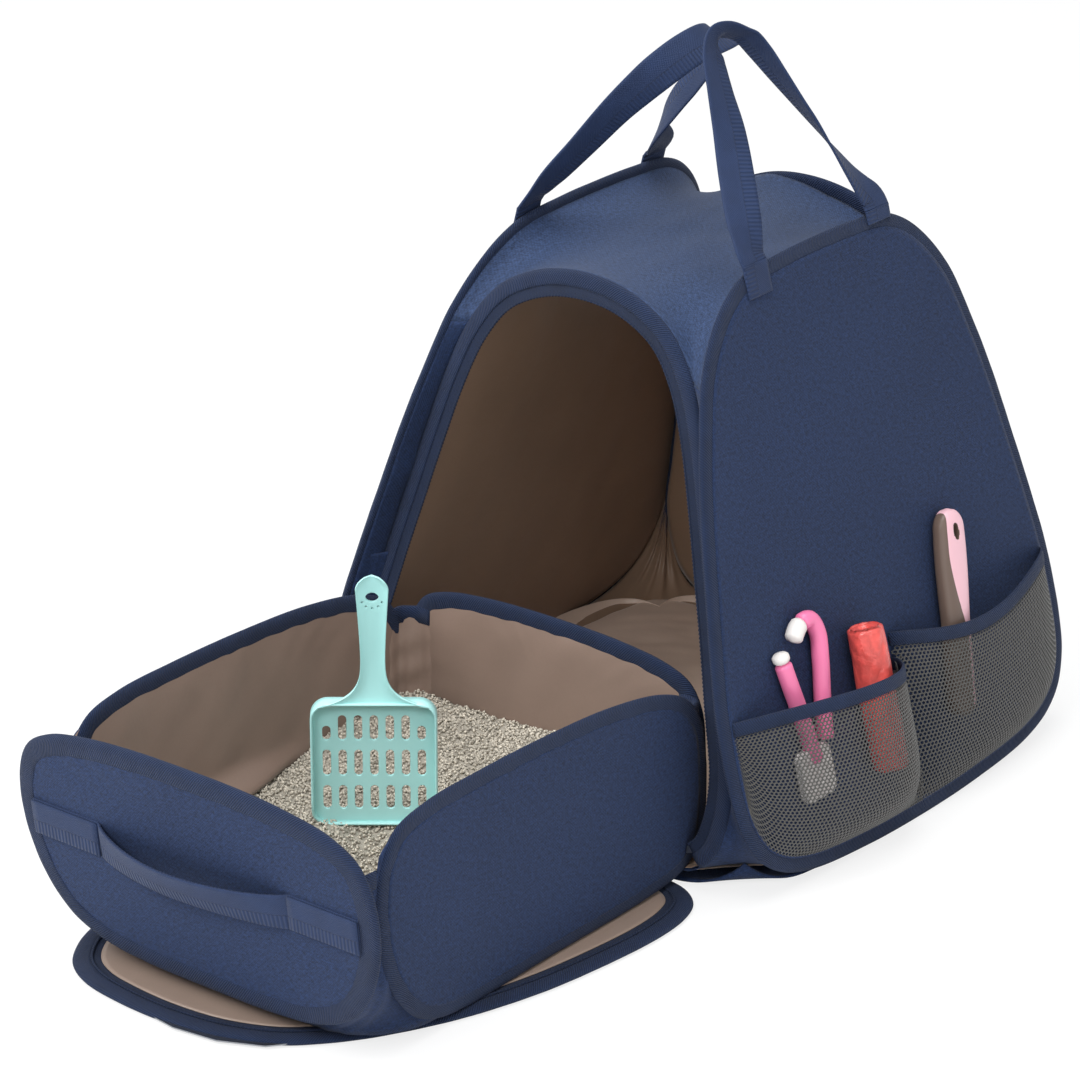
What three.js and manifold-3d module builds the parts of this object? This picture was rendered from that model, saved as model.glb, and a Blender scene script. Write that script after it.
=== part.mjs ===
// A soft cat carrier with its litter box, sewn from cloth panels that spring-steel hoops hold open.
// Millimetres. X to the right, Y to the back, Z up. The origin is on the floor under the cabin's middle.
// The front door is unzipped and lies on the floor with its lining up, and the litter tray stands on it.

import * as THREE from 'three';
import { mergeVertices } from 'three/addons/utils/BufferGeometryUtils.js';
import Module from 'manifold-3d';

const wasm = await Module();
wasm.setup();

// Clearances and cloth

const seamGap = 0.3;
const clothThickness = 1.6;
const liningThickness = 1.5;
const bindingWidth = 12;
const bindingThickness = 6;
const hoopWidth = 6;
const hoopThickness = 1.1;
const zipTapeWidth = 8.7;
const zipTapeThickness = 1.6;
const hoopSteps = 32;
const trayHoopSteps = 24;
const cutOverrun = 2;

// Cabin walls

const sideFootDistance = 226.5;
const roofWidthShare = 0.48342;
const sideTopRise = 11.506;
const sideDepthRise = 0.9;
const frontFootDistance = 225.6;
const frontLean = 9.93;
const archWidthShare = 0.84327;
const archCrownHeight = 457;
const frontFootLift = 7.6;
const backFootLift = 0.6;
const doorwayGap = 2.5;
const doorwayCutHeight = 90;
const windowHalfWidth = 62;
const windowBottom = 190;
const windowTop = 340;
const windowCorner = 24;
const windowLap = 8;
const meshThickness = 0.9;
const cornerSteps = 3;

// Outlines as shares of a panel's half width and height, from the foot's middle to the crown's

const sideOutlineShares = [
  [0, 0], [0.33, 0.004], [0.66, 0.0195], [0.82, 0.044], [0.915, 0.078], [0.975, 0.13], [1, 0.2],
  [0.996, 0.32], [0.96, 0.433], [0.915, 0.541], [0.868, 0.649], [0.803, 0.758], [0.715, 0.866],
  [0.57, 0.948], [0.42, 0.987], [0.2, 0.998], [0, 1],
];
const archOutlineShares = [
  [0, 0], [0.4, 0.001], [0.69, 0.006], [0.86, 0.024], [0.95, 0.06], [0.992, 0.115], [0.998, 0.205],
  [0.935, 0.32], [0.872, 0.434], [0.804, 0.547], [0.735, 0.661], [0.66, 0.772], [0.572, 0.863],
  [0.44, 0.938], [0.235, 0.985], [0, 1],
];

// Door, a panel of its own that turns on the foot of the front arch

const doorHeight = 432;
const doorBindingWidth = 13;
const doorTapeWidth = 13;
const doorHingeHeight = 11;
const doorFootOverhang = 3;

// Roof and corner gussets

const roofThickness = 1.8;
const roofMiddleRise = 4;
const roofEdgeDrop = 5;
const roofShoulderDrop = 25;
const roofSideGap = 0.5;
const roofFrontGap = 0.5;
const roofWidthSteps = 8;
const roofDepthSteps = 10;
const roofLapShare = 0.333;
const roofShoulderPower = 3;
const roofEdgePower = 2.4;
const roofTaperPower = 6;
const gussetThickness = 1.6;
const gussetEdgeGap = 1.2;
const gussetWallGap = 1.1;
const gussetFrontLap = 4;
const gussetTopShare = 0.932;
const gussetFootShare = 0.7;

// Floor

const baseSideGap = 7.5;
const baseThickness = 2;
const baseSteps = 16;
const baseCornerShare = 0.125;
const baseCornerLift = 20;
const baseLiftStart = 0.66;
const baseCornerPower = 4;
const boardInset = 16;
const boardCorner = 130;
const boardCornerSteps = 5;
const boardThickness = 3;
const matInset = 24;
const matFrontInset = 46;
const matEdgeHeight = 8;
const matCrown = 9;
const matSteps = 14;
const matPinchShare = 0.03;
const matCornerShare = 0.1;
const matEdgePower = 4;

// Pocket net on the right wall

const pocketEdgeInset = 19.5;
const pocketDividerPlace = -8;
const pocketFrontTop = 151;
const pocketDividerTop = 136;
const pocketBackTop = 154;
const pocketBindingHeight = 11;
const pocketBindingThickness = 2.2;
const pocketStitchWidth = 5;
const netThickness = 1.2;
const netBarShare = 0.3;
const netColumns = 12;
const netRows = 6;
const netFrontBulge = 46;
const netFrontSkew = 1.7;
const netBackBulge = 24;
const netBackSkew = 1;
const netSwellPower = 0.6;
const netRisePower = 6;
const netBaseStand = 4;

// Carrying handles

const webbingWidth = 30;
const webbingThickness = 2;
const handleSpanShare = 0.35982;
const handleHingeRise = 1.45;
const handleEndLap = 0.5;
const patchLength = 36;
const patchHiddenLength = 14;
const rightApexPlace = 12;
const rightApexRise = 155.58;
const leftApexPlace = -4;
const leftApexRise = 147.58;

// Stations of the loops: share of the half span, share of the height and half turns of the webbing

const rightLoopShares = [
  [-1, 0, 1], [-1, 0.05, 1], [-0.94, 0.12, 0.95], [-0.892, 0.174, 0.89], [-0.715, 0.357, 0.87],
  [-0.519, 0.559, 0.933], [-0.398, 0.721, 1.02], [-0.288, 0.854, 1.067], [-0.174, 0.945, 1.15],
  [-0.05, 0.985, 1.36], [0.08, 0.985, 1.5], [0.19, 0.955, 1.55], [0.3, 0.9, 1.567], [0.39, 0.819, 1.58],
  [0.491, 0.688, 1.63], [0.585, 0.566, 1.68], [0.674, 0.455, 1.72], [0.805, 0.268, 1.82],
  [0.877, 0.171, 1.88], [0.945, 0.1, 1.95], [1, 0.05, 2], [1, 0, 2],
];
const leftLoopShares = [
  [-1, 0, 0], [-1, 0.05, 0], [-0.96, 0.11, -0.04], [-0.904, 0.19, -0.09], [-0.751, 0.349, -0.133],
  [-0.563, 0.571, -0.21], [-0.4, 0.68, -0.28], [-0.253, 0.755, -0.355], [0.047, 0.85, -0.45],
  [0.341, 0.875, -0.46], [0.62, 0.85, -0.62], [0.76, 0.79, -0.93], [0.77, 0.7, -1.18],
  [0.695, 0.571, -1.27], [0.63, 0.439, -1.28], [0.66, 0.278, -1.22], [0.78, 0.15, -1.13],
  [0.93, 0.09, -1.05], [1, 0.05, -1], [1, 0, -1],
];

// Zip slider

const sliderWidth = 8;
const sliderLength = 12;
const sliderThickness = 2;
const sliderParkHeight = 76;

// Litter tray

const trayWidthShare = 0.79058;
const trayLength = 393;
const trayDoorwayReach = 37.5;
const trayBackCover = 3.9;
const trayFrontCover = 7;
const trayFoot = 7.1;
const trayWallHeight = 185;
const trayFrontLean = 7.4;
const trayFrontOverhang = 23;
const trayFrontBottom = 17;
const trayFrontHeight = 190;
const trayBackInset = 3;
const trayBackHeight = 167;
const trayBindingWidth = 12;
const trayBindingThickness = 5;
const trayLinerTop = 150;
const trayFloorThickness = 3;
const trayWallOutlineShares = [
  [0.24, 0], [0.5, 0], [0.82, 0.004], [0.92, 0.03], [0.98, 0.11], [1, 0.26], [1, 0.52], [0.985, 0.68],
  [0.94, 0.81], [0.86, 0.895], [0.7, 0.962], [0.5, 0.992], [0.3, 1], [0.15, 0.99], [0.06, 0.94],
  [0.015, 0.82], [0, 0.67], [0.008, 0.46], [0.045, 0.25], [0.105, 0.09], [0.165, 0.025],
];
const trayFrontOutlineShares = [
  [0, 0], [0.35, 0.005], [0.6, 0.035], [0.78, 0.11], [0.9, 0.235], [0.97, 0.39], [1, 0.55],
  [0.985, 0.72], [0.92, 0.85], [0.78, 0.93], [0.55, 0.975], [0.28, 0.996], [0, 1],
];
const trayBackOutlineShares = [
  [0, 0], [0.5, 0.002], [0.75, 0.02], [0.91, 0.09], [0.99, 0.23], [1, 0.42], [1, 0.62], [0.975, 0.78],
  [0.9, 0.89], [0.75, 0.95], [0.45, 0.988], [0, 1],
];

// Tray strap

const strapHalfLength = 152;
const strapPatchLength = 52;
const strapHumpHeight = 17;
const strapPlace = 102;
const strapSteps = 20;
const strapHumpPower = 0.8;

// Litter

const litterDepth = 48;
const litterBackRise = 16;
const litterRightRise = 9;
const litterRipple = 3;
const litterRippleAcross = 4;
const litterRippleBack = 7;
const litterMound = 2.2;
const litterMoundStart = 2;
const litterMoundAcross = 17;
const litterMoundBack = 19;
const litterGrainRise = 0.6;
const litterColumns = 16;
const litterRows = 20;

// Scoop

const scoopPlaceAside = -14;
const scoopPlaceAhead = 200;
const scoopTurn = 38.5;
const scoopTipHeight = 64;
const scoopHeadWidth = 97;
const scoopHeadHeight = 106;
const scoopHeadCorner = 13;
const scoopRimWidth = 5;
const scoopRimDepth = 14;
const scoopThickness = 3;
const scoopSlotWidth = 7;
const scoopSlotHeight = 22;
const scoopSlotColumns = 7;
const scoopSlotRows = 3;
const scoopHandleWidth = 24;
const scoopNeckWidth = 15;
const scoopHandleLength = 103;
const scoopHoleWidth = 8;
const scoopHoleHeight = 13;
const scoopPocketGap = 0.5;

// Things kept in the pocket

const rollRadius = 16;
const rollLength = 118;
const rollCorner = 2;
const rollCore = 6;
const rollPlace = -52;
const rollFoot = 58;
const rollSides = 18;
const brushPlace = 60;
const brushLeanDegrees = 10;
const brushFoot = 62;
const brushLength = 168;
const brushWidth = 26;
const brushNeckWidth = 15;
const brushThickness = 13;
const brushHoleRadius = 4;
const clipperPlace = -124;
const clipperFoot = 62;
const clipperHeadWidth = 34;
const clipperHeadHeight = 40;
const clipperThickness = 8;
const clipperGripRadius = 5.5;
const clipperGripSteps = 12;
const clipperSides = 8;
const clipperJointGap = 1.1;
const clipperCornerSteps = 2;
const clipperStraightShares = [[-0.2, -0.3], [-0.28, 0], [-0.42, 0.7], [-0.62, 1.5], [-0.76, 2.1]];
const clipperHookedShares = [[0.28, 0], [0.42, 0.7], [0.66, 1.6], [0.72, 2.05], [0.5, 2.4], [0.05, 2.32]];
const itemStand = 0.8;

// Sizes that follow from the others: every wall keeps its place against its neighbours

const radians = THREE.MathUtils.degToRad;
const openingBandWidth = bindingWidth + seamGap + zipTapeWidth;
const archSlope = radians(frontLean);
const archCrownLevel = archCrownHeight * Math.cos(archSlope);
const archHalfWidth = sideFootDistance * archWidthShare;
const roofHalfWidth = sideFootDistance * roofWidthShare;
const sideSlope = Math.atan((sideFootDistance - roofHalfWidth) / archCrownLevel);
const sideHeight = (archCrownLevel + sideTopRise) / Math.cos(sideSlope);
const sideHalfDepth = frontFootDistance + sideDepthRise;
const gussetTop = archCrownHeight * gussetTopShare;
const baseHalfWidth = sideFootDistance - baseSideGap;
const pocketFrontEdge = pocketEdgeInset - sideHalfDepth;
const pocketBackEdge = sideHalfDepth - pocketEdgeInset;
const handleHalfSpan = sideHalfDepth * handleSpanShare;
const trayHalfWidth = archHalfWidth * trayWidthShare;
const trayBackWall = trayDoorwayReach - frontFootDistance;
const trayBackEdge = trayBackWall - trayBackCover;
const trayFrontEdge = trayBackEdge - trayLength;
const trayFrontWallFoot = trayFrontCover - trayFrontEdge;
const trayFrontHalfWidth = trayHalfWidth + trayFrontOverhang;
const trayBackHalfWidth = trayHalfWidth - trayBackInset;
const scoopPlace = new THREE.Vector2(scoopPlaceAside, trayBackEdge - scoopPlaceAhead);

// Colours

const navy = { color: 0x2c3f63, roughness: 0.8, metalness: 0 };
const navyTrim = { color: 0x2a3b5c, roughness: 0.7, metalness: 0 };
const webbing = { color: 0x314a72, roughness: 0.65, metalness: 0 };
const satin = { color: 0x8d7767, roughness: 0.5, metalness: 0 };
const steel = { color: 0x9a9da1, roughness: 0.35, metalness: 1 };
const zip = { color: 0x1f2c46, roughness: 0.55, metalness: 0 };
const net = { color: 0x6d6c69, roughness: 0.7, metalness: 0 };
const board = { color: 0x3a3a3c, roughness: 0.8, metalness: 0 };
const mint = { color: 0x8ed0c6, roughness: 0.35, metalness: 0 };
const litterGrey = { color: 0xb9ad9b, roughness: 0.95, metalness: 0 };
const red = { color: 0xc9252c, roughness: 0.4, metalness: 0 };
const pink = { color: 0xe67ba6, roughness: 0.4, metalness: 0 };
const taupe = { color: 0x6f605a, roughness: 0.45, metalness: 0 };

// General helpers

const weldDistance = 0.001;

function addMesh(parent, name, geometry, finish) {
  const mesh = new THREE.Mesh(geometry, new THREE.MeshStandardMaterial(finish));
  mesh.name = name;
  parent.add(mesh);
  return mesh;
}

function bare(geometry) {
  geometry.deleteAttribute('normal');
  geometry.deleteAttribute('uv');
  return mergeVertices(geometry, weldDistance);
}

function solidFrom(positions, indices) {
  const geometry = new THREE.BufferGeometry();
  geometry.setAttribute('position', new THREE.Float32BufferAttribute(positions, 3));
  geometry.setIndex(indices);
  return geometry;
}

function toManifold(geometry) {
  const merged = bare(geometry.clone());
  const vertProperties = new Float32Array(merged.attributes.position.array);
  const triVerts = new Uint32Array(merged.index.array);
  return new wasm.Manifold(new wasm.Mesh({ numProp: 3, vertProperties, triVerts }));
}

function fromManifold(manifold) {
  const mesh = manifold.getMesh();
  return solidFrom(Array.from(mesh.vertProperties), Array.from(mesh.triVerts));
}

// A group whose X, Y and Z run along a panel's width, its height and its outward side
function panelFrame(origin, across, up) {
  const group = new THREE.Group();
  const outward = new THREE.Vector3().crossVectors(across, up);
  group.setRotationFromMatrix(new THREE.Matrix4().makeBasis(across, up, outward));
  group.position.copy(origin);
  return group;
}

// Evenly spaced points round a smooth closed curve through the given points
function closedOutline(points, count) {
  const through = points.map(([x, y]) => new THREE.Vector3(x, y, 0));
  const curve = new THREE.CatmullRomCurve3(through, true, 'centripetal');
  return curve.getSpacedPoints(count).slice(0, count).map((p) => new THREE.Vector2(p.x, p.y));
}

function mirroredOutline(shares, halfWidth, height, count) {
  const right = shares.map(([u, v]) => [u * halfWidth, v * height]);
  const left = right.slice(1, -1).reverse().map(([x, y]) => [-x, y]);
  return closedOutline(right.concat(left), count);
}

// The outline moved inwards by a distance, corner by corner
function inset(outline, distance) {
  return outline.map((point, i) => {
    const before = outline[(i + outline.length - 1) % outline.length];
    const after = outline[(i + 1) % outline.length];
    const along = after.clone().sub(before).normalize();
    return new THREE.Vector2(point.x - along.y * distance, point.y + along.x * distance);
  });
}

// Where the outline's edges cross a line of the given height or place
function crossings(outline, axis, value) {
  const other = axis === 'x' ? 'y' : 'x';
  const found = [];
  outline.forEach((a, i) => {
    const b = outline[(i + 1) % outline.length];
    if ((a[axis] - value) * (b[axis] - value) <= 0 && a[axis] !== b[axis]) {
      const t = (value - a[axis]) / (b[axis] - a[axis]);
      found.push(a[other] + (b[other] - a[other]) * t);
    }
  });
  return found;
}

function halfWidthAt(outline, height) {
  return Math.max(...crossings(outline, 'y', height));
}

function lowerEdgeAt(outline, place) {
  return Math.min(...crossings(outline, 'x', place));
}

function sheet(outline, low, high, holes = []) {
  const shape = new THREE.Shape(outline);
  shape.holes = holes.map((hole) => new THREE.Path(hole));
  const geometry = new THREE.ExtrudeGeometry(shape, { depth: high - low, bevelEnabled: false });
  return bare(geometry.translate(0, 0, low));
}

// A flat ring between two outlines of as many points
function ring(outer, inner, low, high) {
  const count = outer.length;
  const positions = [];
  const indices = [];
  for (let i = 0; i < count; i++) {
    positions.push(outer[i].x, outer[i].y, low, inner[i].x, inner[i].y, low);
    positions.push(inner[i].x, inner[i].y, high, outer[i].x, outer[i].y, high);
  }
  for (let i = 0; i < count; i++) {
    const a = i * 4;
    const b = ((i + 1) % count) * 4;
    for (let side = 0; side < 4; side++) {
      const next = (side + 1) % 4;
      indices.push(a + side, a + next, b + next, a + side, b + next, b + side);
    }
  }
  return solidFrom(positions, indices);
}

// A closed solid between two grids of points, one on each face of a sheet
function slab(columns, rows, topAt, bottomAt) {
  const positions = [];
  const indices = [];
  const stride = columns + 1;
  const layer = stride * (rows + 1);
  for (const pointAt of [topAt, bottomAt]) {
    for (let j = 0; j <= rows; j++) {
      for (let i = 0; i <= columns; i++) {
        positions.push(...pointAt(i / columns, j / rows).toArray());
      }
    }
  }
  for (let j = 0; j < rows; j++) {
    for (let i = 0; i < columns; i++) {
      const a = j * stride + i;
      const b = a + 1;
      const c = b + stride;
      const d = a + stride;
      indices.push(a, b, c, a, c, d);
      indices.push(layer + a, layer + c, layer + b, layer + a, layer + d, layer + c);
    }
  }
  const rim = [];
  for (let i = 0; i < columns; i++) rim.push(i);
  for (let j = 0; j < rows; j++) rim.push(j * stride + columns);
  for (let i = columns; i > 0; i--) rim.push(rows * stride + i);
  for (let j = rows; j > 0; j--) rim.push(j * stride);
  rim.forEach((a, k) => {
    const b = rim[(k + 1) % rim.length];
    indices.push(a, layer + a, layer + b, a, layer + b, b);
  });
  return solidFrom(positions, indices);
}

// A flat band swept along a path. Each station gives its middle, its width's way and its face's way
function band(stations, width, thickness) {
  const positions = [];
  const indices = [];
  stations.forEach(({ middle, across, face }) => {
    for (const [w, t] of [[-1, -1], [1, -1], [1, 1], [-1, 1]]) {
      const corner = middle.clone().addScaledVector(across, w * width / 2);
      positions.push(...corner.addScaledVector(face, t * thickness / 2).toArray());
    }
  });
  for (let i = 0; i + 1 < stations.length; i++) {
    for (let side = 0; side < 4; side++) {
      const next = (side + 1) % 4;
      const a = i * 4;
      indices.push(a + side, a + next, a + 4 + next, a + side, a + 4 + next, a + 4 + side);
    }
  }
  const last = (stations.length - 1) * 4;
  indices.push(0, 2, 1, 0, 3, 2, last, last + 1, last + 2, last, last + 2, last + 3);
  return solidFrom(positions, indices);
}

function roundedRectangle(halfWidth, low, high, corner) {
  const shape = new THREE.Shape();
  shape.moveTo(-halfWidth + corner, low);
  shape.lineTo(halfWidth - corner, low);
  shape.absarc(halfWidth - corner, low + corner, corner, -Math.PI / 2, 0);
  shape.absarc(halfWidth - corner, high - corner, corner, 0, Math.PI / 2);
  shape.absarc(-halfWidth + corner, high - corner, corner, Math.PI / 2, Math.PI);
  shape.absarc(-halfWidth + corner, low + corner, corner, Math.PI, Math.PI * 1.5);
  return shape;
}

function cornerPoints(shape, steps) {
  const points = shape.extractPoints(steps).shape;
  const closed = points[0].distanceTo(points[points.length - 1]) < seamGap;
  return closed ? points.slice(0, -1) : points;
}

// The steel band of a panel, which lies between its cloth and its lining beside the binding
function hoopRing(outline, edgeWidth) {
  const outer = inset(outline, edgeWidth + seamGap * 2);
  const inner = inset(outline, edgeWidth + seamGap * 2 + hoopWidth);
  return ring(outer, inner, -hoopThickness / 2, hoopThickness / 2);
}

function bindingRing(outline, width, thickness) {
  return ring(outline, inset(outline, width), -thickness / 2, thickness / 2);
}

const clothInside = hoopThickness / 2 + seamGap;

// A whole panel: binding round the edge, cloth outside, lining inside and the hoop between them
function hoopPanel(frame, name, outline, holes = []) {
  const field = inset(outline, bindingWidth + seamGap);
  const outside = clothInside + clothThickness;
  const inside = clothInside + liningThickness;
  addMesh(frame, `${name}_binding`, bindingRing(outline, bindingWidth, bindingThickness), navyTrim);
  addMesh(frame, `${name}_panel`, sheet(field, clothInside, outside, holes), navy);
  addMesh(frame, `${name}_hoop`, hoopRing(outline, bindingWidth), steel);
  addMesh(frame, `${name}_lining`, sheet(field, -inside, -clothInside, holes), satin);
}

// Frames of the cabin's walls

function sideFrame(side) {
  const up = new THREE.Vector3(-side * Math.sin(sideSlope), 0, Math.cos(sideSlope));
  const across = new THREE.Vector3(0, side, 0);
  const lift = bindingThickness / 2 * Math.sin(sideSlope);
  return panelFrame(new THREE.Vector3(side * sideFootDistance, 0, lift), across, up);
}

function archFrame(end, lift) {
  const up = new THREE.Vector3(0, -end * Math.sin(archSlope), Math.cos(archSlope));
  const across = new THREE.Vector3(-end, 0, 0);
  const frame = panelFrame(new THREE.Vector3(0, end * frontFootDistance, 0), across, up);
  frame.position.addScaledVector(up, lift);
  return frame;
}

function archOutlineFrom(lift) {
  return mirroredOutline(archOutlineShares, archHalfWidth, archCrownHeight - lift, hoopSteps);
}

const sideOutline = mirroredOutline(sideOutlineShares, sideHalfDepth, sideHeight, hoopSteps);
const frontOutline = archOutlineFrom(frontFootLift);
const backOutline = archOutlineFrom(backFootLift);
const frames = {
  right: sideFrame(1),
  left: sideFrame(-1),
  front: archFrame(-1, frontFootLift),
  back: archFrame(1, backFootLift),
};

function wallPoint(frame, u, v, w) {
  frame.updateMatrixWorld();
  return frame.localToWorld(new THREE.Vector3(u, v, w));
}

function buildSideWalls(carrier) {
  for (const side of ['right', 'left']) {
    hoopPanel(frames[side], side, sideOutline);
    carrier.add(frames[side]);
  }
}

// The back wall has a net window, held between its cloth and its lining
function buildBackWall(carrier) {
  const opening = roundedRectangle(windowHalfWidth, windowBottom, windowTop, windowCorner);
  hoopPanel(frames.back, 'back', backOutline, [cornerPoints(opening, cornerSteps)]);
  const lapped = roundedRectangle(
    windowHalfWidth + windowLap, windowBottom - windowLap, windowTop + windowLap, windowCorner + windowLap);
  const half = meshThickness / 2;
  addMesh(frames.back, 'back_window_net', sheet(cornerPoints(lapped, cornerSteps), -half, half), net);
  carrier.add(frames.back);
}

// The front wall is only a band: binding outside, zip tape inside and the hoop behind the tape.
// Its foot is cut away between the legs, where the tray's back end stands over the sill
function buildFrontArch(carrier) {
  const frame = frames.front;
  const tapeOuter = inset(frontOutline, bindingWidth + seamGap);
  const tapeInner = inset(frontOutline, openingBandWidth);
  const pass = trayHalfWidth + trayBindingThickness / 2 + doorwayGap;
  const cut = new THREE.BoxGeometry(pass * 2, doorwayCutHeight, bindingThickness + cutOverrun * 2);
  const legs = (solid) => fromManifold(toManifold(solid).subtract(toManifold(cut)));
  const edge = bindingRing(frontOutline, bindingWidth, bindingThickness);
  const tape = ring(tapeOuter, tapeInner, clothInside, clothInside + zipTapeThickness);
  addMesh(frame, 'front_binding', legs(edge), navyTrim);
  addMesh(frame, 'front_zip_tape', legs(tape), zip);
  addMesh(frame, 'front_hoop', legs(hoopRing(frontOutline, bindingWidth)), steel);
  carrier.add(frame);
}

// The roof's sheet runs from arch to arch between the side walls and falls with the arches' shoulders
function buildRoof(carrier) {
  const roofLap = bindingWidth * roofLapShare;
  const crown = wallPoint(frames.front, 0, archCrownHeight - frontFootLift - roofLap, 0);
  const shoulder = crown.z - roofShoulderDrop;
  const shoulderHeight = shoulder / Math.cos(archSlope) - frontFootLift;
  const frontHalf = halfWidthAt(frontOutline, shoulderHeight) - roofLap;
  const inside = bindingThickness / 2 + roofSideGap;
  const place = (a, b, lift) => {
    const u = a * 2 - 1;
    const v = b * 2 - 1;
    const depth = Math.abs(v) ** roofShoulderPower;
    const drop = roofEdgeDrop + (roofShoulderDrop - roofEdgeDrop) * depth;
    const z = crown.z + roofMiddleRise * (1 - v * v) - drop * Math.abs(u) ** roofEdgePower;
    const wall = sideFootDistance - z * Math.tan(sideSlope) - inside / Math.cos(sideSlope);
    const x = u * (wall + (frontHalf - wall) * Math.abs(v) ** roofTaperPower);
    const reach = frontFootDistance - z * Math.tan(archSlope) - (bindingThickness / 2 + roofFrontGap);
    return new THREE.Vector3(x, v * reach, z + lift);
  };
  const top = (a, b) => place(a, b, 0);
  const bottom = (a, b) => place(a, b, -roofThickness);
  addMesh(carrier, 'roof_panel', slab(roofWidthSteps, roofDepthSteps, top, bottom), navy);
}

// A corner gusset is a narrow strip from an arch's edge to the edge of the side wall beside it
function gussetSolid(sideSign, end) {
  const inside = bindingThickness / 2 + gussetWallGap;
  const lift = end < 0 ? frontFootLift : backFootLift;
  const archEdge = inset(end < 0 ? frontOutline : backOutline, -gussetEdgeGap);
  const onGusset = ({ x, y }) => (
    x > archHalfWidth * (y < archHalfWidth ? gussetFootShare : 0) && y + lift < gussetTop);
  const edges = archEdge.filter(onGusset).map(({ x, y }) => {
    const z = (y + lift) * Math.cos(archSlope);
    const near = new THREE.Vector3(x, frontFootDistance - z * Math.tan(archSlope), z);
    const far = new THREE.Vector3(
      sideFootDistance - z * Math.tan(sideSlope) - inside / Math.cos(sideSlope),
      halfWidthAt(sideOutline, z / Math.cos(sideSlope)) - gussetFrontLap, z);
    return { near, far };
  });
  const offset = (level) => {
    const { near, far } = edges[level];
    const below = edges[Math.max(level - 1, 0)];
    const above = edges[Math.min(level + 1, edges.length - 1)];
    const rise = above.near.clone().add(above.far).sub(below.near).sub(below.far);
    return far.clone().sub(near).cross(rise).normalize().multiplyScalar(gussetThickness / 2);
  };
  const pointAt = (sign) => (a, b) => {
    const level = Math.round(b * (edges.length - 1));
    const { near, far } = edges[level];
    const point = near.clone().lerp(far, a).addScaledVector(offset(level), sign);
    return new THREE.Vector3(point.x * sideSign, point.y * end, point.z);
  };
  const faces = sideSign * end > 0 ? [pointAt(1), pointAt(-1)] : [pointAt(-1), pointAt(1)];
  return slab(1, edges.length - 1, ...faces);
}

function buildGussets(carrier) {
  for (const [name, sideSign, end] of [
    ['front_right', 1, -1], ['front_left', -1, -1], ['back_right', 1, 1], ['back_left', -1, 1],
  ]) {
    addMesh(carrier, `${name}_gusset`, gussetSolid(sideSign, end), navy);
  }
}

// The floor: a cloth base, a stiff board on it and a padded mat whose sides are drawn in
const doorHingeDistance = frontFootDistance - doorHingeHeight * Math.tan(archSlope);
const baseFrontEdge = doorHingeDistance - doorFootOverhang - seamGap;
const baseBackEdge = frontFootDistance - bindingThickness / 2 - seamGap * 2;

// The base's corners are lifted to the foot of the gussets, round the stiff board
function basePoint(a, b, height) {
  const u = a * 2 - 1;
  const v = b * 2 - 1;
  const corner = 1 - baseCornerShare * (u * v) ** baseCornerPower;
  const lift = Math.max(0, (Math.abs(u * v) - baseLiftStart) / (1 - baseLiftStart)) ** 2 * baseCornerLift;
  const reach = v < 0 ? baseFrontEdge : baseBackEdge;
  return new THREE.Vector3(u * baseHalfWidth * corner, v * reach * corner, height + lift);
}

function matPoint(a, b, low, crown) {
  const u = a * 2 - 1;
  const v = b * 2 - 1;
  const pinchX = 1 - matPinchShare * (1 - v * v);
  const pinchY = 1 - matPinchShare * (1 - u * u);
  const reachX = baseHalfWidth - matInset;
  const frontReach = baseFrontEdge - matFrontInset;
  const backReach = baseBackEdge - matInset;
  const corner = 1 - matCornerShare * (u * u * v * v);
  const rise = crown * Math.sqrt((1 - u ** matEdgePower) * (1 - v ** matEdgePower));
  return new THREE.Vector3(
    u * reachX * pinchX * corner, v * (v < 0 ? frontReach : backReach) * pinchY * corner, low + rise);
}

function buildFloor(carrier) {
  const clothTop = (a, b) => basePoint(a, b, baseThickness);
  const clothBottom = (a, b) => basePoint(a, b, 0);
  const cloth = slab(baseSteps, baseSteps, clothTop, clothBottom);
  const boardLow = baseThickness + seamGap;
  const boardHigh = boardLow + boardThickness;
  const outline = roundedRectangle(
    baseHalfWidth - boardInset, boardInset - baseFrontEdge, baseBackEdge - boardInset, boardCorner);
  const stiff = sheet(cornerPoints(outline, boardCornerSteps), boardLow, boardHigh);
  addMesh(carrier, 'base_panel', cloth, navy);
  addMesh(carrier, 'base_board', stiff, board);
  const matLow = boardHigh + seamGap;
  const top = (a, b) => matPoint(a, b, matLow + matEdgeHeight, matCrown);
  const bottom = (a, b) => matPoint(a, b, matLow, 0);
  addMesh(carrier, 'floor_mat', slab(matSteps, matSteps, top, bottom), satin);
}

// Pocket net: a lattice of flat bars on a bulging surface, sewn to the right wall on three sides
function netSurface(start, end, topAt, bulge, skew) {
  const floorLine = inset(sideOutline, bindingWidth + pocketStitchWidth / 2);
  return (a, b) => {
    const u = start + (end - start) * a;
    const low = lowerEdgeAt(floorLine, u);
    const v = low + (topAt(a) - low) * b;
    const swell = Math.sin(Math.PI * a ** skew) ** netSwellPower * (1 - (1 - b) ** netRisePower);
    return new THREE.Vector3(u, v, netBaseStand + bulge * (a > 0 && a < 1 ? swell : 0));
  };
}

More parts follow.
